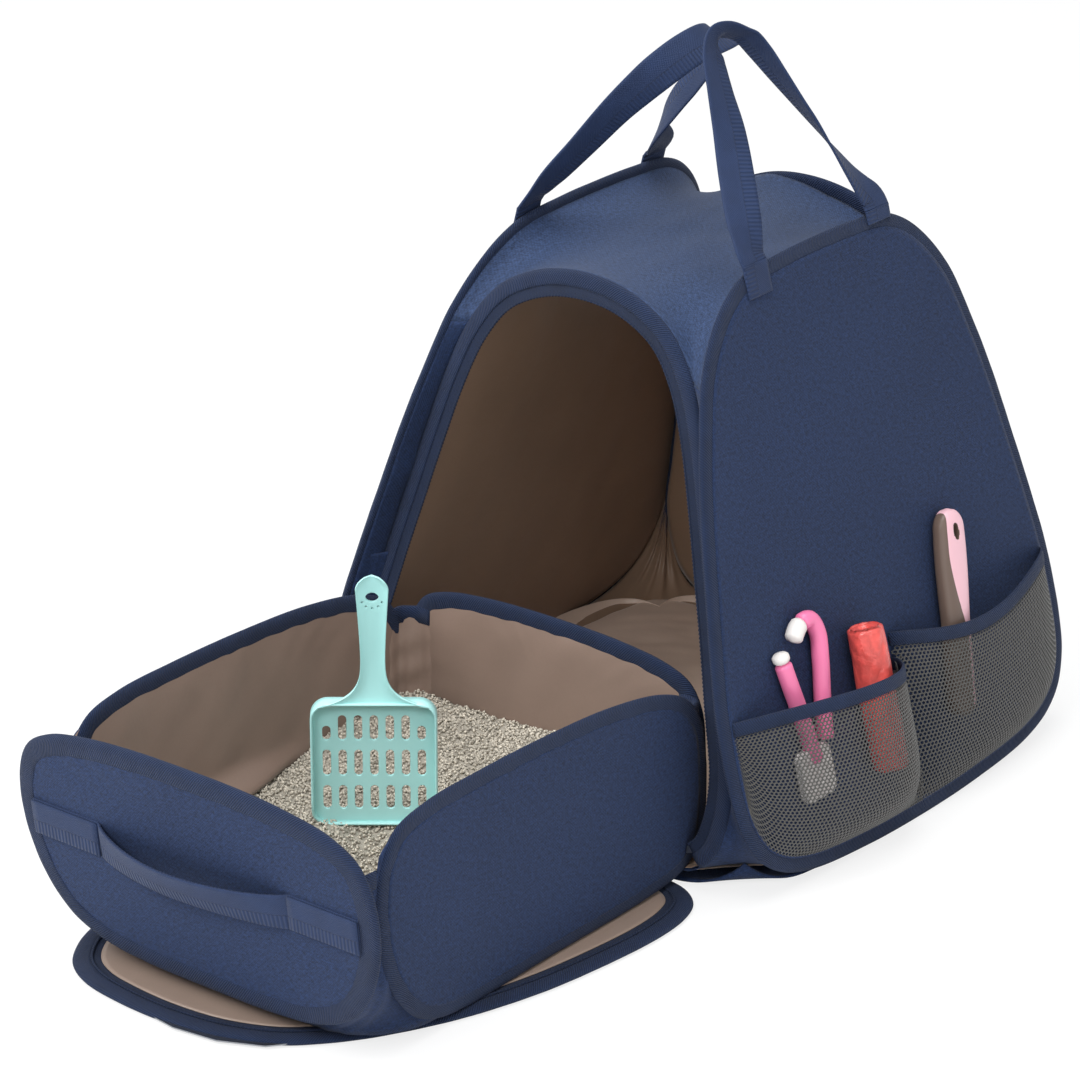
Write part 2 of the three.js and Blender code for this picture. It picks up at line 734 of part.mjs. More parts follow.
function lattice(surface, columns, rows) {
  const lines = (count) => {
    const stops = [0];
    for (let i = 0; i < count; i++) {
      const half = netBarShare / 2;
      stops.push((i + half) / count, (i + 1 - half) / count);
    }
    return stops.concat([1]);
  };
  const across = lines(columns);
  const upwards = lines(rows);
  const stride = across.length;
  const layer = stride * upwards.length;
  const positions = [];
  for (const lift of [netThickness / 2, -netThickness / 2]) {
    for (const b of upwards) {
      for (const a of across) {
        const point = surface(a, b);
        positions.push(point.x, point.y, point.z + lift);
      }
    }
  }
  const solidCell = (i, j) => {
    const inside = i >= 0 && j >= 0 && i < across.length - 1 && j < upwards.length - 1;
    return inside && !(i % 2 === 1 && j % 2 === 1);
  };
  const indices = [];
  const wall = (a, b) => indices.push(a, layer + a, layer + b, a, layer + b, b);
  for (let j = 0; j < upwards.length - 1; j++) {
    for (let i = 0; i < across.length - 1; i++) {
      if (!solidCell(i, j)) continue;
      const a = j * stride + i;
      const b = a + 1;
      const c = b + stride;
      const d = a + stride;
      indices.push(a, b, c, a, c, d);
      indices.push(layer + a, layer + c, layer + b, layer + a, layer + d, layer + c);
      if (!solidCell(i, j - 1)) wall(a, b);
      if (!solidCell(i + 1, j)) wall(b, c);
      if (!solidCell(i, j + 1)) wall(c, d);
      if (!solidCell(i - 1, j)) wall(d, a);
    }
  }
  return solidFrom(positions, indices);
}

// The net's top edge is folded into a cloth band that follows its bulge
function netEdgeBand(surface, steps) {
  const stations = [];
  for (let i = 0; i <= steps; i++) {
    const a = i / steps;
    const middle = surface(a, 1);
    middle.y += pocketBindingHeight / 2 + seamGap;
    stations.push({
      middle, across: new THREE.Vector3(0, 1, 0), face: new THREE.Vector3(0, 0, 1),
    });
  }
  return band(stations, pocketBindingHeight, pocketBindingThickness);
}

function buildPockets() {
  const frontTop = (a) => pocketFrontTop + (pocketDividerTop - pocketFrontTop) * a - pocketBindingHeight;
  const backTop = () => pocketBackTop - pocketBindingHeight;
  const divider = pocketStitchWidth / 2 + seamGap;
  const frontEnd = pocketDividerPlace - divider;
  const backStart = pocketDividerPlace + divider;
  const front = netSurface(pocketFrontEdge, frontEnd, frontTop, netFrontBulge, netFrontSkew);
  const back = netSurface(backStart, pocketBackEdge, backTop, netBackBulge, netBackSkew);
  const frame = frames.right;
  addMesh(frame, 'front_pocket_net', lattice(front, netColumns, netRows), net);
  addMesh(frame, 'back_pocket_net', lattice(back, netColumns, netRows), net);
  addMesh(frame, 'front_pocket_binding', netEdgeBand(front, netColumns), navyTrim);
  addMesh(frame, 'back_pocket_binding', netEdgeBand(back, netColumns), navyTrim);
}

// Handles: loops of webbing that lean on each other, sewn to the side walls by short patches
const patchStand = bindingThickness / 2 + seamGap;

// A loop's stations lie in a plane through its hinge. Its width turns about its own way by the half turns
function loopStations(side, apexPlace, apexRise, shares) {
  const frame = side > 0 ? frames.right : frames.left;
  const foot = wallPoint(frame, 0, sideHeight + handleHingeRise, patchStand + webbingThickness / 2);
  const hoopTop = wallPoint(frame, 0, sideHeight, 0);
  const rise = new THREE.Vector3(apexPlace, 0, hoopTop.z + apexRise).sub(foot);
  const length = rise.length();
  const up = rise.normalize();
  const alongY = new THREE.Vector3(0, 1, 0);
  const outward = new THREE.Vector3().crossVectors(alongY, up).multiplyScalar(side);
  const middles = shares.map(([u, v]) => foot.clone()
    .addScaledVector(alongY, u * handleHalfSpan)
    .addScaledVector(up, v * (length + handleEndLap) - handleEndLap));
  return middles.map((middle, i) => {
    const before = middles[Math.max(i - 1, 0)];
    const after = middles[Math.min(i + 1, middles.length - 1)];
    const forward = after.clone().sub(before).normalize();
    const turn = shares[i][2] * Math.PI;
    const across = new THREE.Vector3().crossVectors(outward, forward).multiplyScalar(Math.cos(turn));
    across.addScaledVector(outward, Math.sin(turn));
    return { middle, across, face: new THREE.Vector3().crossVectors(forward, across) };
  });
}

function handlePatch(place, length) {
  const patch = new THREE.BoxGeometry(webbingWidth, length, webbingThickness);
  return patch.translate(place, sideHeight - length / 2, patchStand + webbingThickness / 2);
}

function buildHandles(carrier) {
  for (const [side, sign, place, rise, shares] of [
    ['right', 1, rightApexPlace, rightApexRise, rightLoopShares],
    ['left', -1, leftApexPlace, leftApexRise, leftLoopShares],
  ]) {
    const loop = band(loopStations(sign, place, rise, shares), webbingWidth, webbingThickness);
    addMesh(carrier, `${side}_handle`, loop, webbing);
    for (const [end, way, length] of [['front', -sign, patchLength], ['back', sign, patchHiddenLength]]) {
      const patch = handlePatch(way * handleHalfSpan, length);
      addMesh(frames[side], `${side}_handle_patch_${end}`, patch, webbing);
    }
  }
}

// The zip's slider is parked at the foot of the arch's left leg
function buildZipSlider() {
  const tapeMiddle = inset(frontOutline, bindingWidth + seamGap + zipTapeWidth / 2);
  const place = -halfWidthAt(tapeMiddle, sliderParkHeight);
  const body = new THREE.BoxGeometry(sliderWidth, sliderLength, sliderThickness);
  const stand = clothInside + zipTapeThickness + seamGap + sliderThickness / 2;
  addMesh(frames.front, 'zip_slider', body.translate(place, sliderParkHeight, stand), steel);
}

// The door lies on the floor with its lining up. Its hinge is the seam at the foot of the arch
function buildDoor(carrier) {
  const origin = new THREE.Vector3(0, doorFootOverhang - doorHingeDistance, bindingThickness / 2);
  const frame = panelFrame(origin, new THREE.Vector3(1, 0, 0), new THREE.Vector3(0, -1, 0));
  const outline = mirroredOutline(archOutlineShares, archHalfWidth, doorHeight, hoopSteps);
  const field = inset(outline, doorBindingWidth + seamGap);
  const tapeInner = inset(outline, doorBindingWidth + seamGap + doorTapeWidth);
  const lined = inset(outline, doorBindingWidth + seamGap * 2 + doorTapeWidth);
  const inside = clothInside + liningThickness;
  addMesh(frame, 'door_binding', bindingRing(outline, doorBindingWidth, bindingThickness), navyTrim);
  addMesh(frame, 'door_panel', sheet(field, clothInside, clothInside + clothThickness), navy);
  addMesh(frame, 'door_hoop', hoopRing(outline, doorBindingWidth), steel);
  addMesh(frame, 'door_zip_tape', ring(field, tapeInner, -inside, -clothInside), zip);
  addMesh(frame, 'door_lining', sheet(lined, -inside, -clothInside), satin);
  carrier.add(frame);
}

// A tray wall: cloth outside, hoop behind it and binding round the edge
function trayWall(tray, frame, name, outline) {
  const field = inset(outline, trayBindingWidth + seamGap);
  const edge = bindingRing(outline, trayBindingWidth, trayBindingThickness);
  addMesh(frame, `tray_${name}_binding`, edge, navyTrim);
  addMesh(frame, `tray_${name}_panel`, sheet(field, clothInside, clothInside + clothThickness), navy);
  addMesh(frame, `tray_${name}_hoop`, hoopRing(outline, trayBindingWidth), steel);
  tray.add(frame);
}

function trayFrames() {
  const lean = radians(trayFrontLean);
  const upright = new THREE.Vector3(0, 0, 1);
  const leaning = new THREE.Vector3(0, -Math.sin(lean), Math.cos(lean));
  const wallFrame = ([x, y, z], [acrossX, acrossY], up) => (
    panelFrame(new THREE.Vector3(x, y, z), new THREE.Vector3(acrossX, acrossY, 0), up));
  const front = wallFrame([0, -trayFrontWallFoot, 0], [1, 0], leaning);
  front.position.addScaledVector(leaning, trayFrontBottom);
  return {
    front,
    back: wallFrame([0, trayBackWall, trayFoot], [-1, 0], upright),
    right: wallFrame([trayHalfWidth, 0, trayFoot], [0, 1], upright),
    left: wallFrame([-trayHalfWidth, 0, trayFoot], [0, -1], upright),
  };
}

function buildTrayWalls(tray, walls) {
  const length = trayBackEdge - trayFrontEdge;
  const along = trayWallOutlineShares.map(([a, b]) => [trayFrontEdge + a * length, b * trayWallHeight]);
  const mirrored = along.map(([y, z]) => [-y, z]).reverse();
  const front = mirroredOutline(trayFrontOutlineShares, trayFrontHalfWidth, trayFrontHeight, trayHoopSteps);
  const back = mirroredOutline(trayBackOutlineShares, trayBackHalfWidth, trayBackHeight, trayHoopSteps);
  trayWall(tray, walls.right, 'right', closedOutline(along, trayHoopSteps));
  trayWall(tray, walls.left, 'left', closedOutline(mirrored, trayHoopSteps));
  trayWall(tray, walls.front, 'front', front);
  trayWall(tray, walls.back, 'back', back);
}

// The strap on the tray's front: two sewn ends and a free hump between them for the fingers
function strapStations() {
  const stand = clothInside + clothThickness + seamGap + webbingThickness / 2;
  const free = strapHalfLength - strapPatchLength;
  const stations = [];
  for (let i = 0; i <= strapSteps; i++) {
    const u = -strapHalfLength + (2 * strapHalfLength * i) / strapSteps;
    const inHump = Math.max(0, 1 - (u / free) ** 2);
    const w = stand + strapHumpHeight * inHump ** strapHumpPower;
    stations.push(new THREE.Vector3(u, strapPlace, w));
  }
  const curve = new THREE.CatmullRomCurve3(stations, false, 'centripetal');
  return stations.map((middle, i) => {
    const tangent = curve.getTangent(i / strapSteps);
    const across = new THREE.Vector3(0, 1, 0);
    return { middle, across, face: new THREE.Vector3().crossVectors(tangent, across) };
  });
}

// The liner is an open box whose walls lie just inside the tray's walls, so its front leans with theirs
const trayInside = trayBindingThickness / 2 + seamGap;

function trayFrontInside(z, cover) {
  const lean = radians(trayFrontLean);
  return cover + trayInside / Math.cos(lean) - trayFrontWallFoot - z * Math.tan(lean);
}

function trayBlock(cover, low, high) {
  const back = trayBackWall - trayInside - cover;
  const profile = new THREE.Shape([
    new THREE.Vector2(trayFrontInside(low, cover), low), new THREE.Vector2(back, low),
    new THREE.Vector2(back, high), new THREE.Vector2(trayFrontInside(high, cover), high),
  ]);
  const halfWidth = trayHalfWidth - trayInside - cover;
  const block = new THREE.ExtrudeGeometry(profile, { depth: halfWidth * 2, bevelEnabled: false });
  const turned = new THREE.Matrix4().makeBasis(
    new THREE.Vector3(0, 1, 0), new THREE.Vector3(0, 0, 1), new THREE.Vector3(1, 0, 0));
  return toManifold(block.applyMatrix4(turned).translate(-halfWidth, 0, 0));
}

function buildTrayInside(tray) {
  const floorTop = trayFoot + trayFloorThickness;
  const hollow = trayBlock(liningThickness, floorTop, trayLinerTop + cutOverrun);
  const liner = trayBlock(0, trayFoot, trayLinerTop).subtract(hollow);
  addMesh(tray, 'tray_liner', fromManifold(liner), satin);
  return floorTop + seamGap;
}

// Litter: a heap that climbs to the back and the right, with a pocket where the scoop stands
function litterHeight(right, back) {
  const ripple = Math.sin((right * 2 - 1) * litterRippleAcross) * Math.cos(back * litterRippleBack);
  const mound = Math.sin(right * litterMoundAcross + litterMoundStart) * Math.sin(back * litterMoundBack);
  const slope = litterBackRise * back * back + litterRightRise * right;
  return litterDepth + slope + litterRipple * ripple + litterMound * mound + litterGrainRise;
}

function buildLitter(tray, low) {
  const cover = liningThickness + seamGap;
  const halfWidth = trayHalfWidth - trayInside - cover;
  const back = trayBackWall - trayInside - cover;
  const point = (a, b, top) => {
    const z = top ? low + litterHeight(a, b) : low;
    const front = trayFrontInside(z, cover);
    return new THREE.Vector3((a * 2 - 1) * halfWidth, front + (back - front) * b, z);
  };
  const heap = slab(litterColumns, litterRows, (a, b) => point(a, b, true), (a, b) => point(a, b, false));
  const gap = scoopPocketGap;
  const pocket = new THREE.BoxGeometry(
    scoopHeadWidth + gap * 2, scoopRimDepth + gap * 2, scoopHeadHeight);
  pocket.translate(0, scoopRimDepth / 2, scoopHeadHeight / 2 + scoopTipHeight - seamGap);
  pocket.rotateZ(radians(scoopTurn));
  pocket.translate(scoopPlace.x, scoopPlace.y, 0);
  addMesh(tray, 'litter', fromManifold(toManifold(heap).subtract(toManifold(pocket))), litterGrey);
}

// Scoop: a slotted pan with a raised rim, a necked handle and a hanging hole
function scoopHandleShape() {
  const neck = scoopNeckWidth / 2;
  const grip = scoopHandleWidth / 2;
  const base = scoopHeadHeight - scoopRimWidth;
  const top = scoopHeadHeight + scoopHandleLength;
  const shape = new THREE.Shape();
  shape.moveTo(-neck * 2, base);
  shape.lineTo(neck * 2, base);
  shape.quadraticCurveTo(neck, base + neck, neck, base + neck * 3);
  shape.quadraticCurveTo(neck, top - grip * 4, grip, top - grip);
  shape.absarc(0, top - grip, grip, 0, Math.PI);
  shape.quadraticCurveTo(-neck, top - grip * 4, -neck, base + neck * 3);
  shape.quadraticCurveTo(-neck, base + neck, -neck * 2, base);
  const hole = new THREE.Path();
  hole.absellipse(0, top - grip, scoopHoleWidth / 2, scoopHoleHeight / 2, 0, Math.PI * 2, true);
  shape.holes.push(hole);
  return shape;
}

function scoopSolid() {
  const half = scoopHeadWidth / 2;
  const outer = roundedRectangle(half, 0, scoopHeadHeight, scoopHeadCorner);
  const inner = roundedRectangle(
    half - scoopRimWidth, scoopRimWidth, scoopHeadHeight - scoopRimWidth, scoopHeadCorner - scoopRimWidth);
  const dishTop = scoopRimDepth + cutOverrun;
  const pan = toManifold(sheet(cornerPoints(outer, cornerSteps), 0, scoopRimDepth));
  const dish = toManifold(sheet(cornerPoints(inner, cornerSteps), scoopThickness, dishTop));
  const handle = toManifold(new THREE.ExtrudeGeometry(
    scoopHandleShape(), { depth: scoopThickness * 2, bevelEnabled: false, curveSegments: 5 }));
  let scoop = pan.subtract(dish).add(handle);
  const pitchX = (scoopHeadWidth - scoopRimWidth * 3) / scoopSlotColumns;
  const pitchY = (scoopHeadHeight - scoopRimWidth * 4) / scoopSlotRows;
  for (let i = 0; i < scoopSlotColumns; i++) {
    for (let j = 0; j < scoopSlotRows; j++) {
      const slot = new THREE.BoxGeometry(scoopSlotWidth, scoopSlotHeight, scoopThickness * 2 + cutOverrun);
      const x = (i - (scoopSlotColumns - 1) / 2) * pitchX;
      const y = scoopRimWidth * 2 + (j + 0.5) * pitchY;
      scoop = scoop.subtract(toManifold(slot.translate(x, y, 0)));
    }
  }
  return fromManifold(scoop);
}

// The scoop stands in the litter and faces the tray's front right corner
function buildScoop(carrier) {
  const turn = radians(scoopTurn);
  const across = new THREE.Vector3(Math.cos(turn), Math.sin(turn), 0);
  const origin = new THREE.Vector3(scoopPlace.x, scoopPlace.y, scoopTipHeight);
  const frame = panelFrame(origin, across, new THREE.Vector3(0, 0, 1));
  frame.position.addScaledVector(new THREE.Vector3(-Math.sin(turn), Math.cos(turn), 0), scoopRimDepth);
  addMesh(frame, 'scoop', scoopSolid(), mint);
  carrier.add(frame);
}

// Pocket things stand on the right wall's cloth and are placed in that wall's own frame
const itemBack = clothInside + clothThickness + itemStand;

function buildRoll(frame) {
  const profile = [
    [0, rollCore], [0, rollRadius - rollCorner], [rollCorner, rollRadius],
    [rollLength - rollCorner, rollRadius], [rollLength, rollRadius - rollCorner], [rollLength, rollCore],
    [0, rollCore],
  ].map(([y, x]) => new THREE.Vector2(x, y));
  const roll = new THREE.LatheGeometry(profile, rollSides);
  addMesh(frame, 'bag_roll', bare(roll).translate(rollPlace, rollFoot, itemBack + rollRadius), red);
}

function brushShape() {
  const grip = brushWidth / 2;
  const neck = brushNeckWidth / 2;
  const shape = new THREE.Shape();
  shape.moveTo(-neck, 0);
  shape.lineTo(neck, 0);
  shape.quadraticCurveTo(neck, brushLength / 2, grip, brushLength - grip);
  shape.absarc(0, brushLength - grip, grip, 0, Math.PI);
  shape.quadraticCurveTo(-neck, brushLength / 2, -neck, 0);
  const hole = new THREE.Path();
  hole.absarc(0, brushLength - grip, brushHoleRadius, 0, Math.PI * 2, true);
  shape.holes.push(hole);
  return shape;
}

function buildBrush(frame) {
  const options = { depth: brushThickness, bevelEnabled: false, curveSegments: 6 };
  const geometry = new THREE.ExtrudeGeometry(brushShape(), options);
  geometry.rotateZ(-THREE.MathUtils.degToRad(brushLeanDegrees));
  addMesh(frame, 'brush', bare(geometry.translate(brushPlace, brushFoot, itemBack)), taupe);
}

// Nail clippers: a flat head and two grips, one straight and one with a hooked end
function clipperGrip(points) {
  const path = new THREE.CatmullRomCurve3(points, false, 'centripetal');
  const circle = new THREE.Shape();
  circle.absarc(0, 0, clipperGripRadius, 0, Math.PI * 2);
  const section = new THREE.Shape(circle.getSpacedPoints(clipperSides).slice(0, clipperSides));
  const options = { steps: clipperGripSteps, extrudePath: path, bevelEnabled: false };
  return bare(new THREE.ExtrudeGeometry(section, options));
}

function buildClippers(frame) {
  const middle = itemBack + clipperGripRadius;
  const headTop = clipperFoot + clipperHeadHeight;
  const half = clipperHeadWidth / 2;
  const head = roundedRectangle(half, 0, clipperHeadHeight, clipperGripRadius);
  const low = middle - clipperThickness / 2;
  const flat = sheet(cornerPoints(head, clipperCornerSteps), low, low + clipperThickness);
  const foot = headTop + clipperJointGap;
  const gripFrom = (shares) => clipperGrip(shares.map(([u, v]) => new THREE.Vector3(
    clipperPlace + u * clipperHeadWidth, foot + v * clipperHeadHeight, middle)));
  const fixed = toManifold(flat.translate(clipperPlace, clipperFoot, 0));
  const withGrip = fixed.add(toManifold(gripFrom(clipperStraightShares)));
  addMesh(frame, 'clipper_body', fromManifold(withGrip), pink);
  addMesh(frame, 'clipper_hooked_grip', gripFrom(clipperHookedShares), pink);
}

// The whole carrier

const carrier = new THREE.Group();
const tray = new THREE.Group();
buildSideWalls(carrier);
buildBackWall(carrier);
buildFrontArch(carrier);
buildRoof(carrier);
buildGussets(carrier);
buildFloor(carrier);
buildPockets();
buildHandles(carrier);
buildZipSlider();
buildDoor(carrier);
const walls = trayFrames();
buildTrayWalls(tray, walls);
addMesh(walls.front, 'tray_strap', band(strapStations(), webbingWidth, webbingThickness), webbing);
buildLitter(tray, buildTrayInside(tray));
carrier.add(tray);
buildScoop(carrier);
buildRoll(frames.right);
buildBrush(frames.right);
buildClippers(frames.right);

export default carrier;
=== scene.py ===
# %% [markdown]
# # A soft cat carrier with its litter box
# On the real object every wall is a panel of cloth held open by a steel hoop, with a ribbed tape bound
# round its edge. Each panel could be pushed and pulled by hand in a modeller. Here each one is worked out
# from its outline, so that tape, cloth and lining always meet, and a change to one size moves them all.

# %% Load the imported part, which gives the bodies and the size
import math

import bmesh
import bpy
import numpy as np
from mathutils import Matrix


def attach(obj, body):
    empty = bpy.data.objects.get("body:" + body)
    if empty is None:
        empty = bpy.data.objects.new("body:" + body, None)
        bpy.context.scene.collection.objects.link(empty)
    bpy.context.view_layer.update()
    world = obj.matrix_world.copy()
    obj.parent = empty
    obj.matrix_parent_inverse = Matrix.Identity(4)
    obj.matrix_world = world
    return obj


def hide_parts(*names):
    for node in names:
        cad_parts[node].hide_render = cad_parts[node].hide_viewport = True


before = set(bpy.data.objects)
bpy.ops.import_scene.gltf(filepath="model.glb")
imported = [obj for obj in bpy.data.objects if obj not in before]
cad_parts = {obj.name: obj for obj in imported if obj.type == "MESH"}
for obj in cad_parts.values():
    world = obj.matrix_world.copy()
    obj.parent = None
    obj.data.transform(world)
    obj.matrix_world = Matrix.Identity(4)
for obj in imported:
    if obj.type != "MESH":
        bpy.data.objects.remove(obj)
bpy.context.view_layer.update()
MM = 0.001

# %% [markdown]
# ## The camera
# A product picture is taken from far away with a long lens, which keeps upright edges nearly parallel.
# The camera could be placed by eye. These numbers come from lines on the object whose directions are known.

# %% Camera
def put(name, data):
    """Makes an object with this data and links it to the scene."""
    made = bpy.data.objects.new(name, data)
    bpy.context.scene.collection.objects.link(made)
    return made


AZIMUTH, ELEVATION = math.radians(38.53), math.radians(23.19)
FOCAL_SHARE, DISTANCE = 4980 / 1080, 4.044
LOOK_ASIDE, LOOK_HEIGHT = -0.1286, 0.178
back_way = np.array([
    math.sin(AZIMUTH) * math.cos(ELEVATION), -math.cos(AZIMUTH) * math.cos(ELEVATION), math.sin(ELEVATION)])
look_at = np.array([LOOK_ASIDE * math.cos(AZIMUTH), LOOK_ASIDE * math.sin(AZIMUTH), LOOK_HEIGHT])
camera_data = bpy.data.cameras.new("camera")
camera_data.sensor_width = 36
camera_data.lens = FOCAL_SHARE * camera_data.sensor_width
camera = put("camera", camera_data)
camera.location = look_at + back_way * DISTANCE
camera.rotation_euler = (math.pi / 2 - ELEVATION, 0, AZIMUTH)
bpy.context.scene.camera = camera
bpy.context.scene.view_settings.view_transform = "Standard"
print("camera", [round(c, 3) for c in camera.location])

# %% [markdown]
# ## Sums of shader sockets
# Patterns such as a weave are short formulas. Adding a node for each sign by hand is slow to read, so a
# socket is wrapped in a small class whose operators add the Math nodes.

# %% Wires and finishes
class Wire:
    """A socket in a sum. An expression on wires adds its Math nodes."""

    def __init__(self, finish, socket):
        self.finish, self.socket = finish, socket

    def math(self, operation, *values):
        return self.finish.node("ShaderNodeMath", {"operation": operation}, *values)

    def __add__(self, other):
        return self.math("ADD", self, other)

    def __radd__(self, other):
        return self.math("ADD", other, self)

    def __sub__(self, other):
        return self.math("SUBTRACT", self, other)

    def __rsub__(self, other):
        return self.math("SUBTRACT", other, self)

    def __mul__(self, other):
        return self.math("MULTIPLY", self, other)

    def __rmul__(self, other):
        return self.math("MULTIPLY", other, self)

    def sin(self):
        return self.math("SINE", self)

    def size(self):
        return self.math("ABSOLUTE", self)

    def fract(self):
        return self.math("FRACT", self)

    def below(self, edge):
        return self.math("LESS_THAN", self, edge)


class Finish:
    """One material. Constants go straight onto the shader's sockets, and patterns are wired in."""

    def __init__(self, name, colour, roughness, **constants):
        self.material = bpy.data.materials.new(name)
        self.material.use_nodes = True
        self.tree = self.material.node_tree
        self.shader = next(n for n in self.tree.nodes if n.type == "BSDF_PRINCIPLED")
        self.colour = (*colour, 1)
        self.shader.inputs["Base Color"].default_value = self.colour
        self.shader.inputs["Roughness"].default_value = roughness
        for socket, value in constants.items():
            self.shader.inputs[socket.replace("_", " ")].default_value = value

    def node(self, kind, settings=None, *values, out=0, **named):
        made = self.tree.nodes.new(kind)
        for key, value in (settings or {}).items():
            if key == "stops":
                for k, (place, colour) in enumerate(value):
                    ramp = made.color_ramp.elements
                    stop = ramp[k] if k < len(ramp) else ramp.new(place)
                    stop.position, stop.color = place, colour
            else:
                setattr(made, key, value)
        pairs = list(enumerate(values)) + [(k.replace("_", " "), v) for k, v in named.items()]
        for key, value in pairs:
            if isinstance(value, Wire):
                self.tree.links.new(value.socket, made.inputs[key])
            else:
                made.inputs[key].default_value = value
        return Wire(self, made.outputs[out])

    def place(self):
        """The place on the UV map, along and across the threads, as two wires."""
        where = self.node("ShaderNodeTexCoord", out="UV")
        return [self.node("ShaderNodeSeparateXYZ", None, where, out=k) for k in range(2)]

    def noise(self, scale, detail=2):
        where = self.node("ShaderNodeTexCoord", out="Object")
        return self.node("ShaderNodeTexNoise", None, Vector=where, Scale=scale, Detail=detail)

    def streaks(self, across, along):
        """Noise drawn out along the threads: so many patches for each metre of the UV map, both ways."""
        where = self.node("ShaderNodeTexCoord", out="UV")
        drawn = self.node("ShaderNodeVectorMath", {"operation": "MULTIPLY"}, where, (across, along, 1))
        return self.node("ShaderNodeTexNoise", None, Vector=drawn, Scale=1, Detail=1)

    def tint(self, amount, dark, light):
        """Base Color goes from dark to light times the written colour as amount goes from 0 to 1."""
        low, high = ([c * k for c in self.colour[:3]] + [1] for k in (dark, light))
        made = self.node("ShaderNodeValToRGB", {"stops": [(0, low), (1, high)]}, amount)
        self.tree.links.new(made.socket, self.shader.inputs["Base Color"])

    def bump(self, height, distance):
        made = self.node("ShaderNodeBump", None, Height=height, Distance=distance, Strength=1)
        self.tree.links.new(made.socket, self.shader.inputs["Normal"])


print("shader helpers ready")

# %% [markdown]
# ## Cloths, tapes and plastics
# The walls are a plain-weave polyester, the edges a ribbed tape woven on the slant, and the loops a thick
# webbing with ribs across. A picture of cloth would stretch, so each weave is a formula on the UV map,
# which holds real metres along and across the threads.

# %% Fabric finishes
NAVY = (0.0108, 0.0240, 0.0700)
TRIM = (0.0096, 0.0215, 0.0620)
SATIN = (0.270, 0.197, 0.156)
WEAVE_PITCH = 0.0013


def woven(name, colour, roughness, depth=0.00014, sheen=0.06):
    """Plain weave: the height is the product of two sines, one along each set of threads."""
    made = Finish(name, colour, roughness, Sheen_Weight=sheen, Sheen_Roughness=0.5, Specular_IOR_Level=0.25)
    x, y = made.place()
    weave = (x * (math.pi / WEAVE_PITCH)).sin() * (y * (math.pi / WEAVE_PITCH)).sin()
    slub = made.streaks(240, 760)
    nap = made.streaks(760, 240)
    cloud = made.noise(7, 2)
    made.tint(weave * 0.16 + (slub - 0.5) * 1.5 + (nap - 0.5) * 1.1 + cloud * 0.3 + 0.35, 0.5, 1.5)
    made.bump(weave * 0.7 + slub * 0.8 + nap * 0.6, depth)
    return made.material


def ribbed(name, colour, rib, slant, roughness, seam=None, stitch=0.003):
    """Ribs on the slant: a sine of the place along the tape plus slant times the place across it."""
    made = Finish(name, colour, roughness, Sheen_Weight=0.05, Sheen_Roughness=0.5, Specular_IOR_Level=0.25)
    x, y = made.place()
    ribs = ((x + y * slant) * (2 * math.pi / rib)).sin()
    cross = ((x - y * slant) * (2 * math.pi / (rib * 0.37))).sin()
    cloud = made.noise(60, 3)
    tone = ribs * 0.3 + cross * 0.08 + cloud * 0.5 + 0.25
    height = ribs * 0.8 + cross * 0.12
    if seam:
        for line in seam:
            near = (y - line).size().below(0.0004)
            dash = (x * (1 / stitch)).fract().below(0.72)
            tone = tone + near * (dash * 0.55 - 0.42)
            height = height + near * (dash * 1.6 - 1.2)
    made.tint(tone, 0.45, 1.55)
    made.bump(height, 0.00045)
    return made.material


def satin(name, colour, roughness=0.42):
    """Coated lining: smooth, with a soft sheen and faint creases."""
    made = Finish(name, colour, roughness, Sheen_Weight=0.15, Sheen_Roughness=0.4, Coat_Weight=0.05)
    soft = made.noise(16, 3)
    fine = made.noise(420, 2)
    made.tint(soft * 0.8 + fine * 0.2, 0.84, 1.16)
    made.bump(soft + fine * 0.05, 0.0012)
    return made.material


def banded(name, colour, roughness):
    """Webbing: a fine weave on one side of its width and raised ribs across on the other."""
    made = Finish(name, colour, roughness, Sheen_Weight=0.05, Sheen_Roughness=0.5, Specular_IOR_Level=0.3)
    x, y = made.place()
    ribbed_side = y.below(0.0122)
    weave = (x * (math.pi / 0.0010)).sin() * (y * (math.pi / 0.0010)).sin()
    ribs = (x * (2 * math.pi / 0.0034)).sin()
    edge = (y - 0.0122).size().below(0.0005)
    cloud = made.noise(70, 3)
    height = weave * (1 - ribbed_side) * 0.4 + ribs * ribbed_side - edge * 1.2
    made.tint(height * 0.15 + cloud * 0.5 + 0.25, 0.55, 1.45)
    made.bump(height, 0.0003)
    return made.material


cloth = woven("navy_cloth", NAVY, 0.78)
# The roof is the walls' navy cloth. Its colour is made lighter as painted light from the lamps above.
lit_roof_cloth = woven("navy_roof_cloth_painted_lit", (0.0235, 0.0430, 0.1010), 0.7)
tape = ribbed("bound_tape", TRIM, 0.0021, 0.75, 0.72, seam=(0.0108, 0.0262))
webbing = banded("webbing", tuple(c * 1.1 for c in NAVY), 0.66)
lining = satin("satin_lining", SATIN)
# A darker, warmer copy of the lining's satin for the cabin's inside: painted shade of the dim cabin.
shaded_cabin_satin = satin("shaded_cabin_satin", (0.285, 0.190, 0.130))
# A much lighter copy of the lining's satin for the mat and floor lining: painted light falling in through the doorway.
lit_mat_satin = satin("lit_mat_satin", (0.720, 0.560, 0.460))
tray_satin = satin("tray_satin", (0.232, 0.163, 0.130))
zip_cloth = ribbed("zip_tape", TRIM, 0.0016, 1.3, 0.7, seam=(0.0128, 0.0172), stitch=0.004)
print("fabrics", [m.name for m in (cloth, lit_roof_cloth, tape, webbing, lining, zip_cloth)])

